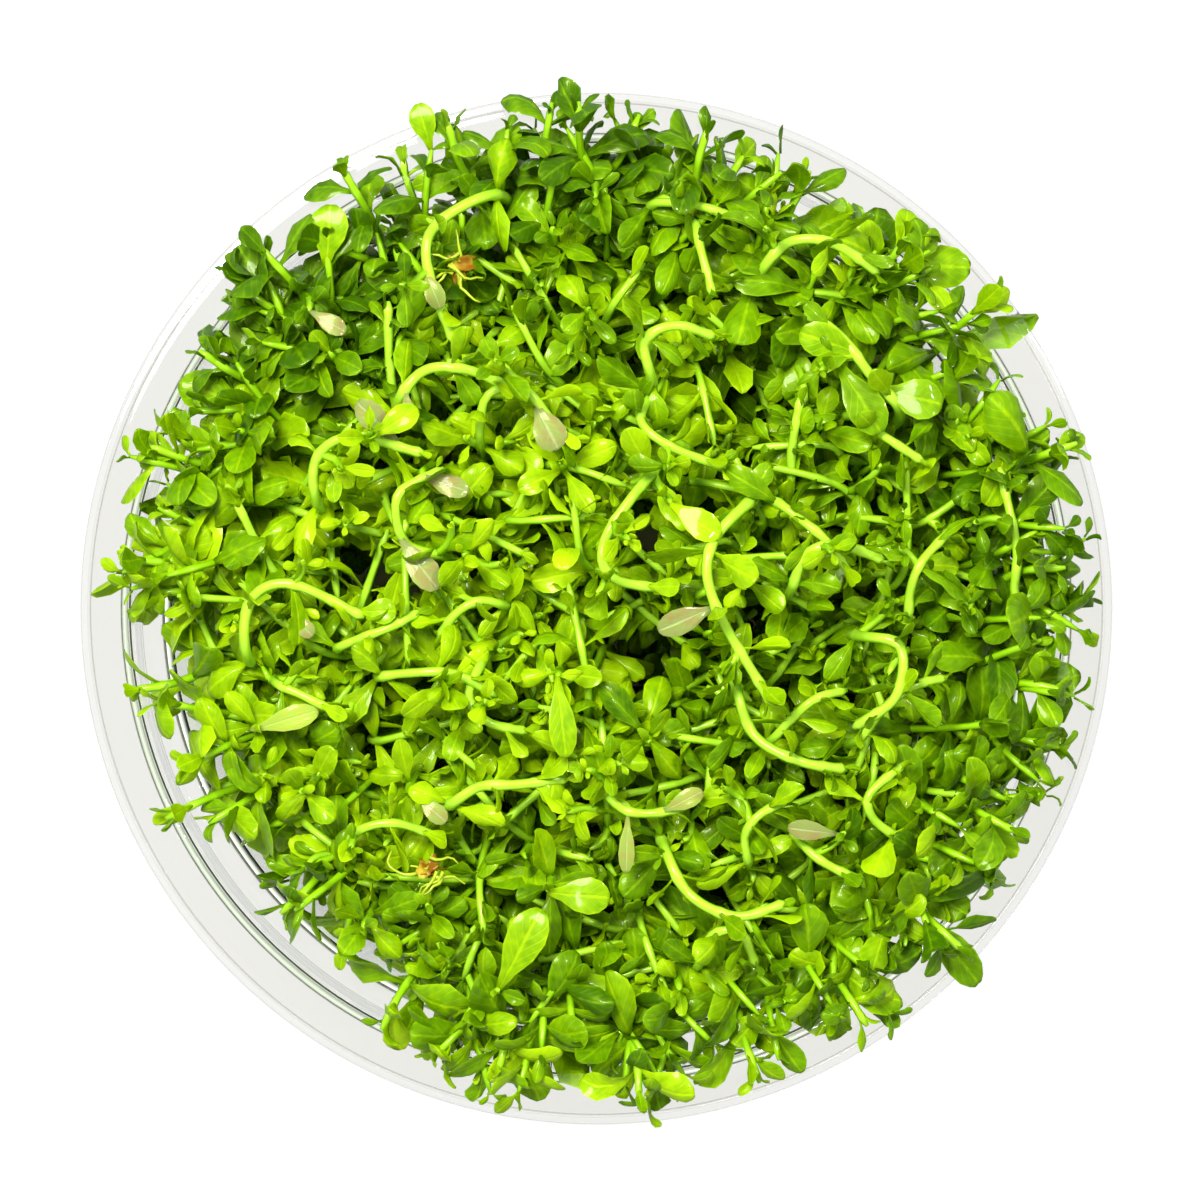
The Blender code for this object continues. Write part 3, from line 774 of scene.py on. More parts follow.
# %% Bends and tips seen in the photograph
# Further bends over the top, as (x, y, height over the rim) in millimetres, towards their tips
BENDS = (
    ((-19.2, 19.3, 1.0), (-19.9, 23.9, 4.5), (-20.0, 29.5, 5.5)),
    ((-10.4, 24.9, 4.0), (-8.6, 22.7, 8.5), (-6.3, 20.5, 10.0), (-2.3, 15.5, 8.0)),
    ((-11.1, 15.6, 4.0), (-11.0, 18.8, 8.0), (-10.0, 20.7, 8.6), (-6.6, 21.8, 8.0)),
    ((-14.6, 5.0, 3.0), (-18.0, 6.1, 7.0), (-19.1, 8.6, 8.8), (-18.6, 11.3, 9.0), (-14.6, 13.4, 7.4)),
    ((-30.3, 2.9, 1.0), (-32.5, 5.9, 3.5), (-34.0, 9.1, 5.0), (-35.5, 11.9, 5.5)),
    ((-21.1, -6.6, 3.0), (-18.4, -6.2, 7.4), (-13.6, -6.2, 8.0), (-9.6, -8.4, 6.4)),
    ((-25.0, -3.9, 3.0), (-22.8, -2.9, 6.4), (-19.8, -1.8, 7.2), (-16.8, -0.2, 6.0)),
    ((-8.4, 0.2, 3.0), (-11.0, 0.8, 7.2), (-13.4, -0.4, 7.4), (-15.2, -2.8, 5.6)),
    ((24.6, -13.0, 3.0), (27.6, -9.4, 6.8), (30.4, -7.4, 7.2), (33.6, -6.6, 5.4)),
    ((16.2, -13.0, 3.0), (18.8, -10.4, 7.0), (21.0, -8.6, 7.6), (24.0, -7.8, 6.0)),
    ((29.0, -22.0, 2.0), (26.6, -20.2, 6.0), (26.1, -17.8, 7.2), (29.6, -14.8, 5.6)),
    ((14.6, -24.6, 3.0), (14.2, -21.8, 6.6), (15.6, -19.7, 7.6), (18.6, -18.2, 6.4)),
    ((18.8, -21.6, 2.0), (21.6, -24.2, 6.0), (25.6, -26.2, 5.4)),
    ((5.4, 20.6, 3.0), (4.2, 18.0, 8.4), (6.8, 15.6, 9.6), (12.4, 13.4, 7.6)),
    ((29.6, -1.4, 3.0), (30.0, 1.6, 7.4), (31.0, 4.4, 8.4), (34.2, 7.8, 6.2)),
    ((41.6, -2.4, -1.0), (40.3, 1.4, 3.0), (40.4, 6.0, 4.0), (38.8, 13.6, 3.6)),
    ((-31.2, -6.8, 2.0), (-28.0, -8.4, 5.8), (-24.4, -10.2, 5.2)),
    ((5.0, 38.6, 1.0), (7.4, 39.0, 4.6), (10.2, 38.6, 5.0), (13.4, 37.6, 4.0)),
    ((9.4, 37.2, 2.0), (9.9, 34.8, 6.4), (11.2, 29.8, 7.0)),
    ((0.2, -16.6, 3.0), (2.2, -19.0, 7.0), (4.6, -19.6, 7.4), (8.4, -19.2, 6.0)),
    ((-10.6, -4.6, 3.0), (-12.2, -8.2, 7.4), (-10.4, -10.8, 8.0), (-6.4, -11.8, 6.6)),
    ((16.4, 10.6, 4.0), (19.4, 8.6, 8.4), (22.2, 6.2, 8.8), (24.6, 2.8, 7.0)),
    ((24.2, 18.6, 3.0), (27.0, 16.8, 7.4), (31.4, 14.0, 6.4)),
    ((18.6, 11.0, -1.0), (18.8, 15.2, 3.8), (19.6, 20.4, 5.4)),
    ((9.6, -34.6, 1.0), (11.0, -31.4, 5.4), (13.8, -31.0, 6.0), (15.4, -34.4, 4.2)),
    ((-24.6, -24.8, -2.0), (-23.2, -21.6, 3.8), (-19.4, -20.6, 4.6), (-14.6, -22.2, 3.6)),
)

# Tips that hang out over the rim: bearing in degrees, and reach of the outermost leaf
EDGE_TIPS = (
    (10, 46.1), (25, 47.5), (47, 50.1), (52, 46.7), (67, 48.6), (72, 48.7), (85, 50.9), (95, 51.9),
    (128, 48.6), (138, 49.3), (154, 46.4), (167, 46.4), (178, 46.2), (192, 46.1), (201, 45.4),
    (209, 45.7), (221, 42.0), (225, 44.0), (250, 49.0), (252, 45.5), (267, 44.7), (292, 49.8),
    (300, 48.4), (306, 51.2), (325, 46.3), (335, 46.5), (356, 45.9),
)
print("bends", len(BENDS), "edge tips", len(EDGE_TIPS))

# %% Paths of the shoots between
GOLDEN_ANGLE = math.pi * (3 - math.sqrt(5))
# How many shoots stand all over the mass, how far out in millimetres, and what share of them nods
INNER_FILL = 236
INNER_FILL_RADIUS = 40.5
NODDING_SHARE = 0.6
# How many lean out at the edge, and the degrees from one to the next
OUTER_FILL = 112
OUTER_TURN = 137.508
THIN_SECTOR, THIN_RADIUS = (184, 246), 37
DARK_GAP = (3.7, -6.8)
DARK_GAP_RADIUS = 3.4
# How far the leaves of an edge tip reach past its stem, and how far a place is off the spiral
EDGE_LEAF = 3.0
SCATTER = 1.4
# How far below the dome a tip ends: the least, the range past it and the power it is spread by
NODDING_DEPTH, INNER_DEPTH = (2.4, 8.6, 1.3), (1.4, 10, 1.2)
NODDING_REACH, INNER_REACH = (5, 14), (0.6, 3.0)
# Reach and height over the rim at the edge, where few and where many shoots stand
THIN_REACH, OUTER_REACH = (35.0, 40.5), (40.0, 48.0)
THIN_OVER, OUTER_OVER = (-4.0, 0.5), (-0.5, 5.5)
EDGE_OVER = (1.5, 5.0)


def bearing_of(x, y):
    """Degrees anticlockwise from +X, from 0 to 360."""
    return math.degrees(math.atan2(y, x)) % 360


def in_thin_sector(bearing):
    """Whether few shoots stand at that bearing in the photograph."""
    return THIN_SECTOR[0] < bearing < THIN_SECTOR[1]


def tipping_path(x, y, depth, reach, rng):
    """Up from the gel, then tipped over sideways at the top by its reach."""
    top = np.array((x, y, 0.0))
    height = dome_height(x, y) - depth
    bend = rng.uniform(0, 2 * math.pi)
    way = polar(bend, 1.0, 0.0)
    aside = polar(bend + math.pi / 2, rng.uniform(-0.35, 0.35) * reach, 0.0)
    sway = polar(rng.uniform(0, 2 * math.pi), rng.uniform(0.8, 3.4) * MM, 0.0)
    start = top - way * reach * 0.5
    return smooth_path([
        start * 0.80 - sway * 0.6 + raised(ROOT_HEIGHT),
        start * 0.86 + sway + raised(rng.uniform(22, 33) * MM),
        start * 0.95 - sway * 0.4 + raised(height - 9 * MM),
        start + way * reach * 0.30 + raised(height - 1.6 * MM),
        start + way * reach + aside + raised(height - rng.uniform(-1.2, 2.2) * MM),
    ])


def leaning_path(bearing, reach, over, rng):
    """Up inside the wall, then out over the rim and round to one side of its bearing."""
    tip = math.radians(bearing)
    turn = math.radians(rng.uniform(-13, 13))
    foot = tip - turn + math.radians(rng.uniform(-4, 4))
    root = rng.uniform(27.5, 34.5) * MM
    sway = math.radians(rng.uniform(-6, 6))
    reach, over = reach * MM, over * MM
    return smooth_path([
        polar(foot, root, ROOT_HEIGHT),
        polar(foot + sway, root + rng.uniform(-1.0, 3.5) * MM, rng.uniform(21, 25) * MM),
        polar(foot - sway * 0.5, root + rng.uniform(1.0, 4.0) * MM, rng.uniform(33, 37) * MM),
        polar(tip - turn * 0.7, reach - rng.uniform(7.0, 10.0) * MM, CUP_HEIGHT - 5.5 * MM),
        polar(tip - turn * 0.3, reach - 4.2 * MM, CUP_HEIGHT + over * 0.6),
        polar(tip, reach, CUP_HEIGHT + over),
    ])


def inner_fill():
    """(name, path, rng) of the shoots all over the mass, upright or nodding."""
    for index in range(INNER_FILL):
        nods = (index * NODDING_SHARE) % 1 < NODDING_SHARE
        name = f"nodding_{index}" if nods else f"inner_{index}"
        rng = random.Random(name)
        radius = INNER_FILL_RADIUS * math.sqrt((index + 0.5) / INNER_FILL)
        bearing = index * GOLDEN_ANGLE
        x = radius * math.cos(bearing) + rng.uniform(-SCATTER, SCATTER)
        y = radius * math.sin(bearing) + rng.uniform(-SCATTER, SCATTER)
        least, more, power = NODDING_DEPTH if nods else INNER_DEPTH
        depth = (least + more * rng.random() ** power) * MM
        reach = rng.uniform(*(NODDING_REACH if nods else INNER_REACH)) * MM
        path = tipping_path(x * MM, y * MM, depth, reach, rng)
        tip = path[-1] / MM
        thin = in_thin_sector(bearing_of(x, y)) and radius > THIN_RADIUS
        if not thin and math.dist(tip[:2], DARK_GAP) > DARK_GAP_RADIUS:
            yield name, path, rng


def outer_fill():
    """(name, path, rng) of the shoots that lean out at the edge."""
    for index in range(OUTER_FILL):
        name = f"outer_{index}"
        rng = random.Random(name)
        bearing = (index * OUTER_TURN + rng.uniform(-3, 3)) % 360
        thin = in_thin_sector(bearing)
        reach = rng.uniform(*(THIN_REACH if thin else OUTER_REACH))
        over = rng.uniform(*(THIN_OVER if thin else OUTER_OVER))
        yield name, leaning_path(bearing, reach, over, rng), rng
    for index, (bearing, reach) in enumerate(EDGE_TIPS):
        name = f"edge_{index}"
        rng = random.Random(name)
        yield name, leaning_path(bearing, reach - EDGE_LEAF, rng.uniform(*EDGE_OVER), rng), rng


def bending_fill():
    """(name, path, rng) of the further bends over the top."""
    for index, points in enumerate(BENDS):
        name = f"bending_{index}"
        rng = random.Random(name)
        yield name, arch_path(points, rng), rng


between = [*inner_fill(), *outer_fill(), *bending_fill()]
print("shoots between:", len(between))

# %% [markdown]
# ## A stem
# A stem is a round tube along its path. Its rings are turned as little as possible from one to
# the next, so it never looks wrung. It swells a little at each node, where a pair of leaves grows.

# %% Stem surface
STEM_FOOT_RADIUS = 0.72 * MM
STEM_TIP_RADIUS = 0.46 * MM
RING_SPACING = 1.15 * MM
NODE_SWELL = 0.22
NODE_SPREAD = 0.55 * MM
FINE_LENGTH = 24 * MM
COARSE = 2.4


def spaced_out(path, spacing):
    """The path at even distances over its last FINE_LENGTH, and COARSE times as far apart
    below, where leaves hide it, with those distances."""
    steps = np.linalg.norm(np.diff(path, axis=0), axis=1)
    lengths = np.concatenate(([0.0], np.cumsum(steps)))
    low = max(0.0, lengths[-1] - FINE_LENGTH)
    below = np.linspace(0, low, round(low / (spacing * COARSE)), endpoint=False)
    above = np.linspace(low, lengths[-1], max(3, round((lengths[-1] - low) / spacing)) + 1)
    at = np.concatenate((below, above))
    return np.stack([np.interp(at, lengths, path[:, axis]) for axis in range(3)], axis=1), at


def unit(vectors):
    """Each vector divided by its length."""
    return vectors / np.linalg.norm(vectors, axis=-1, keepdims=True)


def frames_along(path):
    """Directions along the path, and two square to it that turn with it as little as they can."""
    along = unit(np.gradient(path, axis=0))
    side = np.empty_like(path)
    first = np.cross(along[0], (0.36, 0.93, 0.0))
    side[0] = first / np.linalg.norm(first)
    for index in range(1, len(path)):
        held = side[index - 1] - along[index] * (side[index - 1] @ along[index])
        side[index] = held / np.linalg.norm(held)
    return along, side, np.cross(along, side)


def gridded(first, second):
    """Two arrays spread over one grid, as a list of pairs."""
    return np.stack(np.broadcast_arrays(first, second), axis=-1).reshape(-1, 2)


def tube(path, frames, radii, sides, tone, kind, slot):
    """Rings round a path: each point is the centre plus its radius along two square directions."""
    _, side, other = frames
    angle = np.arange(sides) * 2 * math.pi / sides
    across, upward = np.cos(angle)[None, :, None], np.sin(angle)[None, :, None]
    ring = across * side[:, None] + upward * other[:, None]
    points = path[:, None] + ring * radii[:, None, None]
    rows = len(path)
    blade = gridded(np.arange(sides)[None] / sides, np.linspace(0, 1, rows)[:, None])
    tones = gridded(tone[:, None], np.full((1, sides), kind))
    ends = (np.arange(sides)[None, ::-1], (rows - 1) * sides + np.arange(sides)[None])
    faces = (grid_faces(rows, sides, True), *ends)
    points = points.reshape(-1, 3)
    crisp = np.zeros(len(points))
    return Surface(points, faces, blade, tones, slot, crisp)


print("stem helper ready")

# %% [markdown]
# ## Leaves
# A leaf is a thin blade: narrow at its foot, widest past its middle, with a round tip. Its midline
# rises from the stem and droops, its two halves bulge a little on each side of the sunken midrib
# and fold up or down from it, and it twists. Its margin is a sharp edge, so it looks thin. All
# the leaves of a clump are worked out in one go, as arrays of leaf by row by column.

# %% Leaf surfaces
Leaf = namedtuple(
    "Leaf", "foot out up length width foot_taper rise droop fold twist ripple bulge tone kind"
)
LEAF_ROWS = np.array((0.0, 0.22, 0.46, 0.68, 0.84, 0.95, 1.0))
MIDDLE_LEAF_ROWS = np.array((0.0, 0.30, 0.62, 0.89, 1.0))
LOW_LEAF_ROWS = np.array((0.0, 0.38, 0.80, 1.0))
LEAF_ACROSS = np.array((-1.0, -0.5, 0.0, 0.5, 1.0, 0.0))
LEAF_BULGE = np.array((0.0, 1.0, 0.45, 1.0, 0.0, 0.0))
LEAF_UNDERSIDE = np.array((0.0, 0.0, 0.0, 0.0, 0.0, 1.0))
LEAF_MARGIN = np.array((1, 0, 0, 0, 2, 0))
LEAF_THICKNESS = 0.22 * MM
WIDEST = 0.66
PETIOLE_SHARE = 0.17
TIP_SHARE = 0.26


def blade_outline(u, taper):
    """Share of the full half width: a sine to the power taper up to WIDEST, then a quarter of an
    ellipse to the tip, and never less than the petiole or the blunt tip."""
    foot = np.sin(np.minimum(u / WIDEST, 1.0) * math.pi / 2) ** taper
    tip = np.sqrt(1 - (np.maximum(u - WIDEST, 0.0) / (1 - WIDEST)) ** 2)
    return np.maximum(foot * tip, np.where(u < 0.5, PETIOLE_SHARE, TIP_SHARE))


def leaf_blades(leaves, leaf_rows=LEAF_ROWS, slot=0):
    """Midline angle is rise minus droop times u to the power 1.5; the point at (u, v) is the
    midline plus v half-widths sideways, lifted by the fold times |v|, or v squared where it folds
    down, a ripple times v, and the bulge of each half; the underside has one point more, below
    the midrib."""
    held = {name: np.array([getattr(leaf, name) for leaf in leaves]) for name in Leaf._fields}
    u = leaf_rows[None, :]
    angle = held["rise"][:, None] - held["droop"][:, None] * u**1.5
    out, up = held["out"][:, None], held["up"][:, None]
    run = np.cos(angle)[..., None] * out + np.sin(angle)[..., None] * up
    lift = np.cos(angle)[..., None] * up - np.sin(angle)[..., None] * out
    side = np.cross(out, up)
    span = np.diff(leaf_rows)[None, :, None] * held["length"][:, None, None]
    middle = np.zeros_like(run)
    middle[:, 1:] = np.cumsum((run[:, 1:] + run[:, :-1]) / 2 * span, axis=1)
    middle += held["foot"][:, None]
    turn = (held["twist"][:, None] * (u - 0.2))[..., None]
    across = np.cos(turn) * side + np.sin(turn) * lift
    over = np.cos(turn) * lift - np.sin(turn) * side
    half = blade_outline(u, held["foot_taper"][:, None]) * held["width"][:, None] / 2
    half = half[..., None]
    v = LEAF_ACROSS[None, None, :]
    fold = held["fold"][:, None, None]
    fold = fold * half * np.where(fold > 0, np.abs(v), v**2)
    wave = np.sin(u * 9.0 + held["tone"][:, None] * 40.0) * held["ripple"][:, None]
    ripple = wave[..., None] * half * v
    bulge = held["bulge"][:, None, None] * half * LEAF_BULGE
    below = LEAF_UNDERSIDE * LEAF_THICKNESS * (1.0 - 0.5 * u[..., None])
    points = middle[:, :, None] + across[:, :, None] * (v * half)[..., None]
    points = points + over[:, :, None] * (fold + ripple + bulge - below)[..., None]
    count, rows, columns = points.shape[:3]
    whole = rows * columns
    faces = grid_faces(rows, columns, True)
    starts = (np.arange(count) * whole)[:, None, None]
    sides = (faces[None] + starts).reshape(-1, 4)
    caps = np.stack((np.arange(columns)[::-1], (rows - 1) * columns + np.arange(columns)))
    caps = (caps[None] + starts).reshape(-1, columns)
    blade = np.stack(np.broadcast_arrays(v / 2 + 0.5, u[..., None]), axis=-1)
    blade = np.broadcast_to(blade, (count, rows, columns, 2)).reshape(-1, 2)
    tone = np.stack((held["tone"], held["kind"]), axis=-1)
    tone = np.broadcast_to(tone[:, None], (count, whole, 2)).reshape(-1, 2)
    crisp = np.tile(LEAF_MARGIN, count * rows)
    return Surface(points.reshape(-1, 3), (sides, caps), blade, tone, slot, crisp)


print("faces a leaf:", (len(LEAF_ROWS) - 1) * len(LEAF_ACROSS) + 2)

# %% [markdown]
# ## A whole shoot
# Leaves grow in pairs, one each side of the stem, and each pair stands square to the one below.
# The young pairs at the tip are small, close together and nearly upright. Further down they are
# larger, wider apart and flatter. Leaves on a stem that lies over turn their faces to the light.

# %% Shoots with their leaves and roots
INTERNODES = (0.4, 1.4, 2.4, 3.3, 4.0, 4.4, 4.7, 4.9, 5.1, 5.3, 5.4, 5.5)
PAIR_SIZES = (0.38, 0.74, 1.00, 1.10, 1.10, 1.06, 1.02, 0.98, 0.95, 0.92, 0.88, 0.85)
PAIR_RISES = (64, 44, 30, 20, 14, 9, 5, 2, 0, -2, -4, -6)
BARE_FOOT = 6 * MM
Habit = namedtuple("Habit", "pairs stretch leaf size tone stem_tone sides rings side_shoots droop")
Axil = namedtuple("Axil", "centre along out")


# Patches of deeper green seen in the photograph: x, y and radius in millimetres, and depth
DEEP_PATCHES = (
    (-30, 35, 16, 0.60), (-2, 50, 14, 0.42), (22, 21, 8, 0.17), (38, 4, 10, 0.17), (8, -14, 7, 0.06),
    (-12, -33, 8, 0.17), (-30, -22, 8, 0.10),
)


PLAIN_TONE, MIDDLE_TONE, TONE_RIGHTWARDS, TONE_UPWARDS = 0.41, 0.20, -0.12, 0.02
BRIGHT_MIDDLE, BRIGHT_RADIUS = (-8, 4), 30
MASS_RADIUS = 45


def fading(x, y, place, radius):
    """exp(-(distance / radius)^2) from a place."""
    return math.exp(-((x - place[0]) ** 2 + (y - place[1]) ** 2) / radius**2)


def lightness(place):
    """Tone over the mass: yellower at the left and in the middle, and deeper in the patches."""
    x, y = place[0] / MM, place[1] / MM
    tone = PLAIN_TONE + MIDDLE_TONE * fading(x, y, BRIGHT_MIDDLE, BRIGHT_RADIUS)
    tone = tone + TONE_RIGHTWARDS * x / MASS_RADIUS + TONE_UPWARDS * y / MASS_RADIUS
    return tone - sum(depth * fading(x, y, (u, v), radius) for u, v, radius, depth in DEEP_PATCHES)


# Of each leaf: shares of its pair's length, width to length, taper, and low, high and likeliest
# angles in degrees, fold and tone
LENGTHS, WIDTHS, TAPERS = (0.74, 1.18), (0.38, 0.58), (1.0, 2.1)
RIPPLES, BULGES = (0.02, 0.26), (0.06, 0.26)
RISES, DROOPS, TWISTS = (-30, 36, 2), (-36, 110, 32), (-100, 100, 0)
FOLDS, TONES = (-0.95, 0.75, -0.30), (-0.26, 0.24, 0)


def leaf_pair(centre, along, side, radius, length, rise, droop, rng, tone):
    """Two opposite leaves at a node, each with a droop, fold and twist of its own."""
    up = along + np.array((0.0, 0.0, 0.9)) * rng.uniform(0.0, 1.0)
    grown = []
    for way in (1, -1):
        out = unit(side * way + np.cross(along, side) * rng.uniform(-0.28, 0.28))
        size = length * rng.uniform(*LENGTHS)
        grown.append(Leaf(
            foot=centre + out * radius * 0.6,
            out=out,
            up=unit(up - out * (up @ out)),
            length=size,
            width=size * rng.uniform(*WIDTHS),
            foot_taper=rng.uniform(*TAPERS),
            rise=math.radians(rise + rng.triangular(*RISES)),
            droop=math.radians(rng.triangular(*DROOPS) + droop),
            fold=rng.triangular(*FOLDS),
            twist=math.radians(rng.triangular(*TWISTS)),
            ripple=rng.uniform(*RIPPLES),
            bulge=rng.uniform(*BULGES),
            tone=min(1.0, max(0.0, tone + rng.triangular(*TONES))),
            kind=0.0,
        ))
    return grown


def shoot(path, habit, rng):
    """The stem surface of one shoot, its leaves, and the axils where side shoots grow."""
    path, at = spaced_out(path, RING_SPACING * habit.rings)
    frames = frames_along(path)
    along, side, other = frames
    stretch = habit.stretch * rng.uniform(0.88, 1.14)
    from_tip = np.cumsum(INTERNODES[: habit.pairs]) * stretch * MM
    places = at[-1] - from_tip
    places = places[places > min(BARE_FOOT, at[-1] * 0.25)]
    share = at / at[-1]
    radii = (STEM_FOOT_RADIUS + (STEM_TIP_RADIUS - STEM_FOOT_RADIUS) * share) * habit.size
    away = at[:, None] - places[None]
    swell = np.exp(-((away / NODE_SPREAD) ** 2)).sum(axis=1)
    radii = radii * (1 + NODE_SWELL * swell)
    radii[-1] *= 0.5
    tone = lightness(path[-1]) + habit.tone + rng.uniform(-0.18, 0.15)
    stem_tone = np.clip(habit.stem_tone + 0.15 * swell - 0.12 * (1 - share), 0, 1)
    stem = tube(path, frames, radii, habit.sides, stem_tone, 0.0, 1)
    turn = rng.uniform(0, math.pi)
    leaves, axils = [], []
    for index, place in enumerate(places):
        ring = int(np.argmin(np.abs(at - place)))
        turn += math.pi / 2 + rng.uniform(-0.2, 0.2)
        out = side[ring] * math.cos(turn) + other[ring] * math.sin(turn)
        length = habit.leaf * PAIR_SIZES[index] * rng.uniform(0.86, 1.12)
        older = tone - 0.012 * index
        place = (path[ring], along[ring], out, radii[ring])
        pair = leaf_pair(*place, length, PAIR_RISES[index], habit.droop, rng, older)
        leaves += pair
        if index > 1 and rng.random() < habit.side_shoots:
            axils.append(Axil(path[ring], along[ring], pair[rng.randrange(2)].out))
    return stem, leaves, axils


def side_path(axil, rng):
    """Out of the axil of a leaf, then bent up towards the light."""
    length = rng.uniform(3.0, 8.0) * MM
    aside = np.cross(axil.along, axil.out) * rng.uniform(-0.4, 0.4)
    first = axil.centre + (axil.out * 0.8 + axil.along * 0.35) * length * 0.35
    second = first + (axil.out * 0.5 + aside + raised(0.5)) * length * 0.35
    last = second + (axil.out * 0.2 + aside + raised(rng.uniform(0.1, 1.0))) * length * 0.4
    return smooth_path([axil.centre, first, second, last])


def roots(path, rng, count):
    """Thin pale roots that wander down from the stem's foot through the gel."""
    found = []
    for _ in range(count):
        foot = path[0]
        way = polar(rng.uniform(0, 2 * math.pi), rng.uniform(1.5, 4.5) * MM, 0.0)
        low = raised(rng.uniform(3.4, 7.0) * MM)
        flat = foot * (1, 1, 0)
        bend = flat + way * 0.4 + raised(10 * MM)
        line = smooth_path([foot + raised(0.6 * MM), bend, flat + way + low])
        line, _ = spaced_out(line, 1.6 * MM)
        radii = np.linspace(0.16, 0.07, len(line)) * MM
        tone = np.full(len(line), 0.9)
        found.append(tube(line, frames_along(line), radii, 4, tone, 0.35, 1))
    return found


print("longest leafy part", round(sum(INTERNODES), 1), "mm")

# %% [markdown]
# ## Kept inside the cup
# Soft leaves press flat against the wall and lie on the rim, and never pass through it. So every
# point that a formula puts past the wall is drawn back to it, more the further out it was.

# %% Press what meets the cup against it
PRESS = 0.45 * MM
RIM_REST = CUP_HEIGHT + 0.15 * MM


def kept_inside(points):
    """Radius r past the wall's limit less PRESS becomes limit - PRESS * exp(-excess / PRESS)."""
    radius = np.hypot(points[:, 0], points[:, 1])
    height = points[:, 2]
    body = inner_radius(np.clip(height, BODY_FOOT_HEIGHT, LEDGE_HEIGHT))
    limit = np.where(height < LEDGE_HEIGHT + 0.4 * MM, body, LEDGE_RADIUS - 0.1 * MM)
    excess = radius - (limit - PRESS)
    over_rim = (height < RIM_REST) & (radius > STEP_TOP - WALL) & (radius < FLANGE_RADIUS + 0.3 * MM)
    pressed = (excess > 0) & (height < RIM_REST) & (radius <= STEP_TOP - WALL)
    target = limit - PRESS * np.exp(-np.maximum(excess, 0) / PRESS)
    factor = np.where(pressed, target / np.maximum(radius, 1e-6), 1.0)
    points = points * np.stack((factor, factor, np.ones_like(factor)), axis=1)
    points[:, 2] = np.where(over_rim, RIM_REST + (height - RIM_REST) * 0.02, height)
    return points


print("wall limit at the ledge", round(inner_radius(LEDGE_HEIGHT) / MM, 2), "mm")

# %% [markdown]
# ## The clumps
# Each main shoot becomes a piece that stands for its solid, and the shoots between go with the
# main shoot whose tip is nearest, because they are far too many to keep apart.

# %% Grow everything
HABITS = {
    "arching_shoot": Habit(8, 1.6, 5.0 * MM, 1.0, 0.06, 0.84, 8, 0.6, 0.40, 0),
    "rim_shoot": Habit(9, 1.45, 7.2 * MM, 0.80, 0.0, 0.50, 6, 0.8, 0.10, 20),
    "upright_shoot": Habit(9, 1.0, 6.0 * MM, 0.85, 0.0, 0.50, 6, 1.0, 0.24, 0),
    "inner": Habit(9, 1.0, 5.6 * MM, 0.72, -0.02, 0.45, 5, 1.2, 0.14, 0),
    "nodding": Habit(8, 1.35, 4.7 * MM, 0.76, 0.02, 0.66, 6, 0.9, 0.28, 0),
    "bending": Habit(8, 1.4, 4.7 * MM, 0.90, 0.04, 0.78, 7, 0.7, 0.40, 0),
    "outer": Habit(9, 1.4, 6.7 * MM, 0.72, -0.05, 0.40, 5, 1.1, 0.06, 20),
    "edge": Habit(9, 1.4, 6.6 * MM, 0.74, -0.05, 0.44, 6, 0.9, 0.10, 16),
}
SIDE_SHOOT = Habit(4, 1.0, 3.9 * MM, 0.62, 0.05, 0.66, 5, 0.8, 0.0, 0)
main_paths = []
for kind, make_path, tips in (
    ("arching_shoot", arch_path, ARCHES),
    ("rim_shoot", rim_path, RIM_TIPS),
    ("upright_shoot", upright_path, UPRIGHT_TIPS),
):
    for number, tip in enumerate(tips, 1):
        name = f"{kind}_{number:02d}"
        rng = random.Random(name)
        main_paths.append((name, make_path(tip, rng), rng))

tip_places = np.array([path[-1][:2] for _, path, _ in main_paths])
clumps = {name: [(name, path, rng)] for name, path, rng in main_paths}
for name, path, rng in between:
    nearest = int(np.argmin(np.linalg.norm(tip_places - path[-1][:2], axis=1)))
    clumps[main_paths[nearest][0]].append((name, path, rng))


OUTER_KINDS = ("rim", "outer", "edge")


def grow(members):
    """The stems, roots and leaves of the shoots of a clump, with their side shoots."""
    stems, leaves = [], []
    for name, path, rng in members:
        stem, grown, axils = shoot(path, HABITS[name.rsplit("_", 1)[0]], rng)
        stems += [stem, *roots(path, rng, 4 if name.startswith(OUTER_KINDS) else 2)]
        leaves += grown
        for axil in axils:
            stem, grown, _ = shoot(side_path(axil, rng), SIDE_SHOOT, rng)
            stems.append(stem)
            leaves += grown
    return stems, leaves


grown = {node: grow(members) for node, members in clumps.items()}
print(len(clumps), "clumps,", len(main_paths) + len(between), "shoots")
print("leaves:", sum(len(leaves) for _, leaves in grown.values()))

# %% [markdown]
# ## Leaves and knots seen one by one
# Some leaves stand out in the photograph: pale grey or pinkish undersides that turned up, a few
# large leaves, and a yellow one deep in a gap. Each takes the place of the leaf that already grows
# nearest to its foot, so it hangs on a real stem. Two knots of withered brown leaves and thin tan
# roots lie on the mass as well.

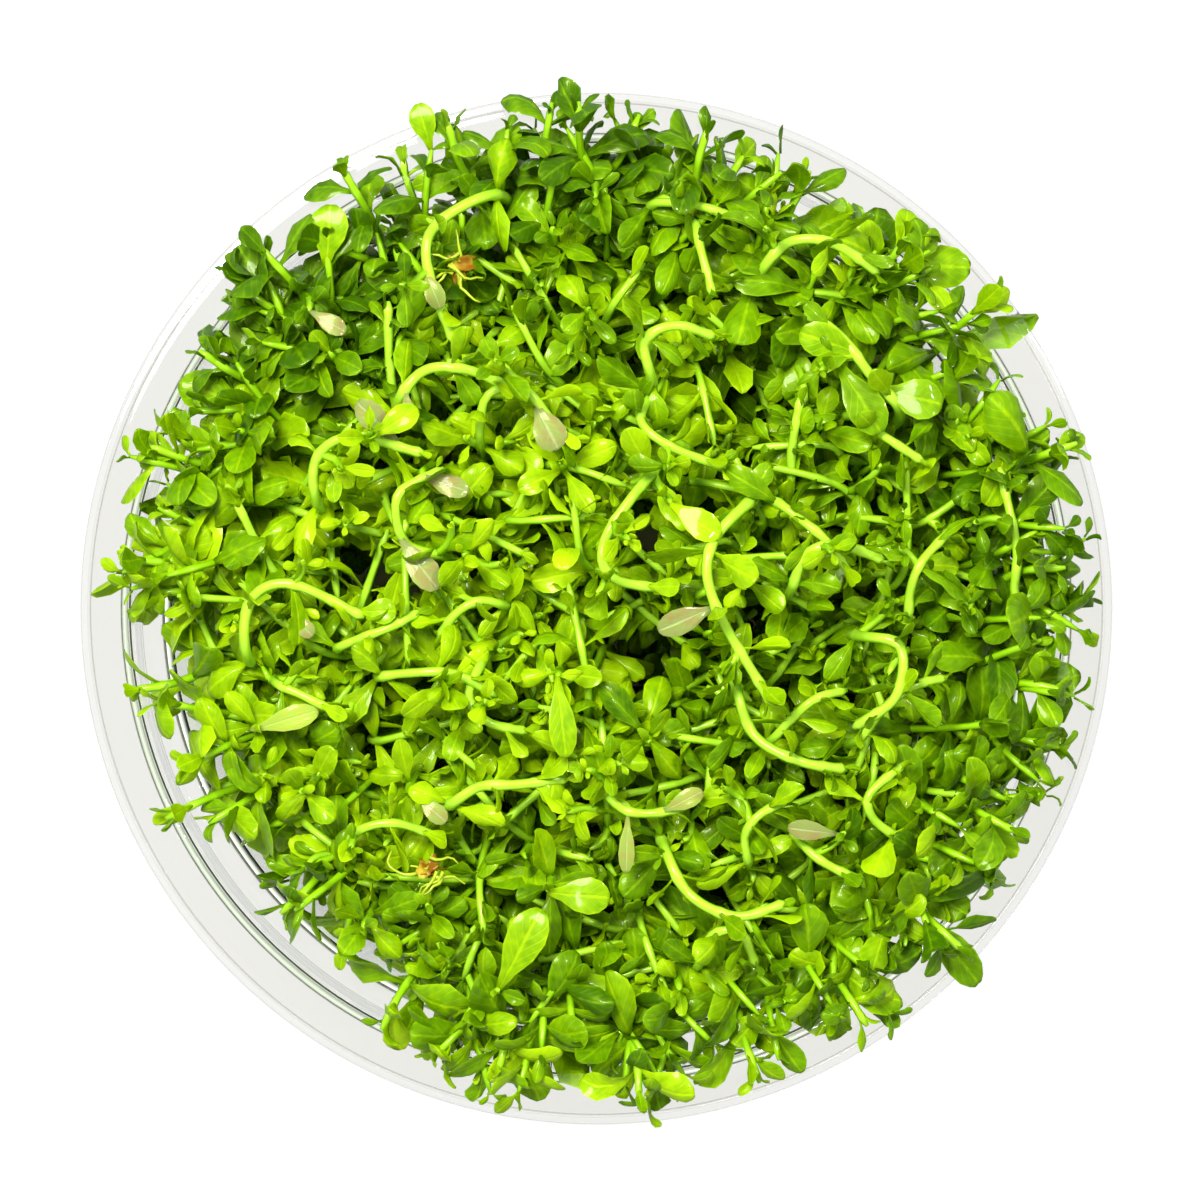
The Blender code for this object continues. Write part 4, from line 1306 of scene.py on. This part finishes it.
# %% Turn the nearest leaves into the ones seen
# Middle x and y and height over the rim in millimetres, bearing, length, width, tone and paleness
SEEN_LEAVES = (
    (7.0, 0.5, 9, 202, 6.0, 2.6, 0.5, 1.0), (-21.4, 19.6, 9, 135, 5.6, 2.6, 0.6, 1.0),
    (-16.3, 0.9, 9, 306, 6.2, 2.9, 0.6, 1.0), (-13.8, 13.0, 10, 341, 4.8, 2.2, 0.5, 1.0),
    (-5.6, 14.2, 10, 297, 4.9, 3.2, 0.7, 1.0), (-33.1, -9.6, 6, 16, 6.8, 2.4, 0.9, 0.6),
    (18.6, -19.0, 8, 172, 5.0, 2.0, 0.6, 1.0), (-16.6, 17.0, 10, 277, 3.4, 1.5, 0.4, 1.0),
    (-29.5, -1.1, 8, 313, 2.9, 1.7, 0.4, 1.0), (-15.3, -17.8, 8, 318, 3.8, 1.9, 0.7, 0.9),
    (8.0, -18.8, 8, 27, 4.4, 1.9, 0.7, 0.8), (-18.3, 29.5, 8, 292, 4.0, 2.0, 0.5, 0.8),
    (-23.1, 27.2, 7, 329, 4.1, 1.9, 0.6, 1.0), (-1.9, -12.1, 9, 270, 3.5, 2.3, 0.4, 0.6),
    (0.4, -22.3, 8, 268, 5.6, 1.6, 0.7, 0.8), (-4.4, -8.0, 10, 276, 7.9, 2.7, 0.42, 0.0),
    (-4.8, -31.0, 6, 62, 8.8, 3.9, 0.42, 0.0), (3.4, -7.2, -4, 18, 5.0, 2.5, 0.98, 0.0),
    (2.8, -27.4, 7, 355, 6.0, 3.6, 0.40, 0.0), (-20.7, 0.8, 9, 0, 3.6, 2.6, 0.45, 0.0),
    (6.6, 9.4, 10, 325, 5.8, 2.9, 0.62, 0.0), (24.9, 17.1, 8, 301, 8.0, 3.8, 0.25, 0.0),
    (30.8, 22.1, 6, 345, 6.0, 4.0, 0.30, 0.0), (24.3, 25.9, 6, 160, 6.2, 3.4, 0.40, 0.0),
    (-24.6, 34.9, 5, 85, 6.0, 3.8, 0.42, 0.0), (-17.2, 46.2, 3, 105, 4.6, 2.6, 0.40, 0.0),
)
DEPTH_WEIGHT = 0.8


def set_seen(grown, seen):
    """Gives the leaf with the least distance from the seen leaf's foot, sideways plus
    DEPTH_WEIGHT times up or down, the seen leaf's size, bearing, tone and paleness."""
    held = [(node, index) for node, parts in grown.items() for index in range(len(parts[1]))]
    feet = np.array([leaf.foot for parts in grown.values() for leaf in parts[1]]) / MM
    taken = set()
    for x, y, over, bearing, length, width, tone, paleness in seen:
        way = polar(math.radians(bearing), 1.0, 0.0)
        foot = np.array((x, y, CUP_HEIGHT / MM + over)) - way * length / 2
        away = np.abs(feet - foot)
        away = np.hypot(away[:, 0], away[:, 1]) + DEPTH_WEIGHT * away[:, 2]
        chosen = next(int(index) for index in np.argsort(away) if int(index) not in taken)
        taken.add(chosen)
        node, index = held[chosen]
        leaf = grown[node][1][index]
        grown[node][1][index] = leaf._replace(
            out=way, up=raised(1.0), length=length * MM, width=width * MM, foot_taper=1.4,
            rise=math.radians(16), droop=math.radians(26), fold=0.10, twist=0.25, ripple=0.10,
            bulge=0.12, tone=tone, kind=paleness,
        )
    return len(taken)


print("leaves seen one by one:", set_seen(grown, SEEN_LEAVES))

# %% Withered knots
# x, y and height over the rim in millimetres
KNOTS = ((-13.6, 33.0, 7.0), (-15.9, -25.0, 5.0))
KNOT_LEAVES, KNOT_ROOTS = 7, 7


def withered_leaf(centre, rng):
    """A short crumpled leaf near the centre, at any bearing."""
    out = polar(rng.uniform(0, 2 * math.pi), 1.0, 0.0)
    return Leaf(
        foot=centre - out * rng.uniform(0.2, 1.0) * MM + raised(rng.uniform(-0.5, 0.5) * MM),
        out=out, up=raised(1.0), length=rng.uniform(1.6, 3.0) * MM,
        width=rng.uniform(1.0, 1.8) * MM, foot_taper=1.0,
        rise=math.radians(rng.uniform(-30, 50)), droop=math.radians(rng.uniform(40, 150)),
        fold=rng.uniform(-0.8, 1.0), twist=rng.uniform(-2, 2), ripple=rng.uniform(0.4, 0.9),
        bulge=0.2, tone=rng.random(), kind=1.0,
    )


def curled_root(centre, rng):
    """A thin root that sets out near the centre and turns at random."""
    bearing = rng.uniform(0, 2 * math.pi)
    heading = rng.uniform(0, 2 * math.pi)
    line = [centre + polar(bearing, rng.uniform(0.2, 1.5) * MM, rng.uniform(-0.3, 0.9) * MM)]
    for _ in range(4):
        heading += rng.uniform(-1.2, 1.2)
        step = polar(heading, rng.uniform(0.6, 1.3) * MM, rng.uniform(-0.4, 0.3) * MM)
        line.append(line[-1] + step)
    line, _ = spaced_out(smooth_path(line), 0.6 * MM)
    radii = np.linspace(0.20, 0.09, len(line)) * MM
    return tube(line, frames_along(line), radii, 5, np.full(len(line), 0.8), 0.45, 1)


def knot(place, rng):
    """A few crumpled leaves round one place, and thin roots that curl over and round them."""
    centre = np.array((place[0], place[1], CUP_HEIGHT / MM + place[2])) * MM
    withered = [withered_leaf(centre, rng) for _ in range(KNOT_LEAVES)]
    return [leaf_blades(withered, slot=1), *(curled_root(centre, rng) for _ in range(KNOT_ROOTS))]


def nearest_clump(place):
    """The clump one of whose stems passes nearest to a place, over its last part."""
    flat = np.array(place[:2]) * MM
    distance = {
        name: min(np.linalg.norm(path[-30:, :2] - flat, axis=1).min() for _, path, _ in members)
        for name, members in clumps.items()
    }
    return min(distance, key=distance.get)


for number, place in enumerate(KNOTS):
    node = nearest_clump(place)
    grown[node][0].extend(knot(place, random.Random(f"knot_{number}")))
    print("a knot hangs on", node)

# %% [markdown]
# ## Into meshes
# What grew becomes one mesh a clump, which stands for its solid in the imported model. The leaves
# on top have the most rows, and those deep in the cup, where others hide them, have the fewest.

# %% Make the pieces
# Height over the table from which leaves have these rows
LEAF_LEVELS = (
    (CUP_HEIGHT + 0.5 * MM, LEAF_ROWS),
    (CUP_HEIGHT - 9 * MM, MIDDLE_LEAF_ROWS),
    (0.0, LOW_LEAF_ROWS),
)


def blades_by_level(leaves):
    """The surfaces of the leaves, those of each level with its own rows."""
    top = math.inf
    for low, rows in LEAF_LEVELS:
        held = [leaf for leaf in leaves if low <= leaf.foot[2] < top]
        top = low
        if held:
            yield leaf_blades(held, rows)


for node, (stems, leaves) in grown.items():
    surfaces = [*stems, *blades_by_level(leaves)]
    surfaces = [surface._replace(points=kept_inside(surface.points)) for surface in surfaces]
    make_piece(f"{node}_clump", surfaces, [leaf_material, stem_material], node)

# %% [markdown]
# ## The floor
# The photograph has no visible floor, only white. A pale floor with a little light of its own
# comes out white too, and it lights the cup from below as a bright table would. Mirrored in the
# wall it is dimmer, as a table is that isn't lit that far out.

# %% Floor
FLOOR_HALF = 3.0
FLOOR_LIGHT = 0.97
FLOOR_LIGHT_MIRRORED = 0.30
floor_mesh = bpy.data.meshes.new("pale_floor")
corners = np.array(((-1, -1, 0), (1, -1, 0), (1, 1, 0), (-1, 1, 0))) * FLOOR_HALF
floor_mesh.from_pydata(corners.tolist(), [], [(0, 1, 2, 3)])
floor_material, floor_tree, floor_shader = new_material("pale_floor")
rays = add_node(floor_tree, "ShaderNodeLightPath").outputs
mirrored = (rays["Is Glossy Ray"], rays["Is Transmission Ray"])
mirrored = value_of(floor_tree, "SUBTRACT", *mirrored, clamp=True)
less_light = (mirrored, FLOOR_LIGHT_MIRRORED - FLOOR_LIGHT)
wired(floor_tree, floor_shader, {
    "Base Color": (0.03, 0.03, 0.03), "Roughness": 0.9, "Emission Color": (1.0, 1.0, 1.0),
    "Emission Strength": plus(floor_tree, FLOOR_LIGHT, less_light),
})
floor_material.cycles.emission_sampling = "NONE"
floor_mesh.materials.append(floor_material)
floor = bpy.data.objects.new("pale_floor", floor_mesh)
bpy.context.scene.collection.objects.link(floor)
floor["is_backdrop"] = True
print("floor", 2 * FLOOR_HALF, "m across")

# %% [markdown]
# ## Finish
# The dressed model keeps to the solids' box; both boxes are printed, with the number of triangles.

# %% Sizes and the last line
visual_box = [[float(value) for value in corner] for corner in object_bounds()]
triangles = sum(
    len(polygon.vertices) - 2
    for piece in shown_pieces() if piece.type == "MESH"
    for polygon in piece.data.polygons
)
print("visual box in mm:", [[round(value / MM, 1) for value in corner] for corner in visual_box])
print("triangles:", triangles)
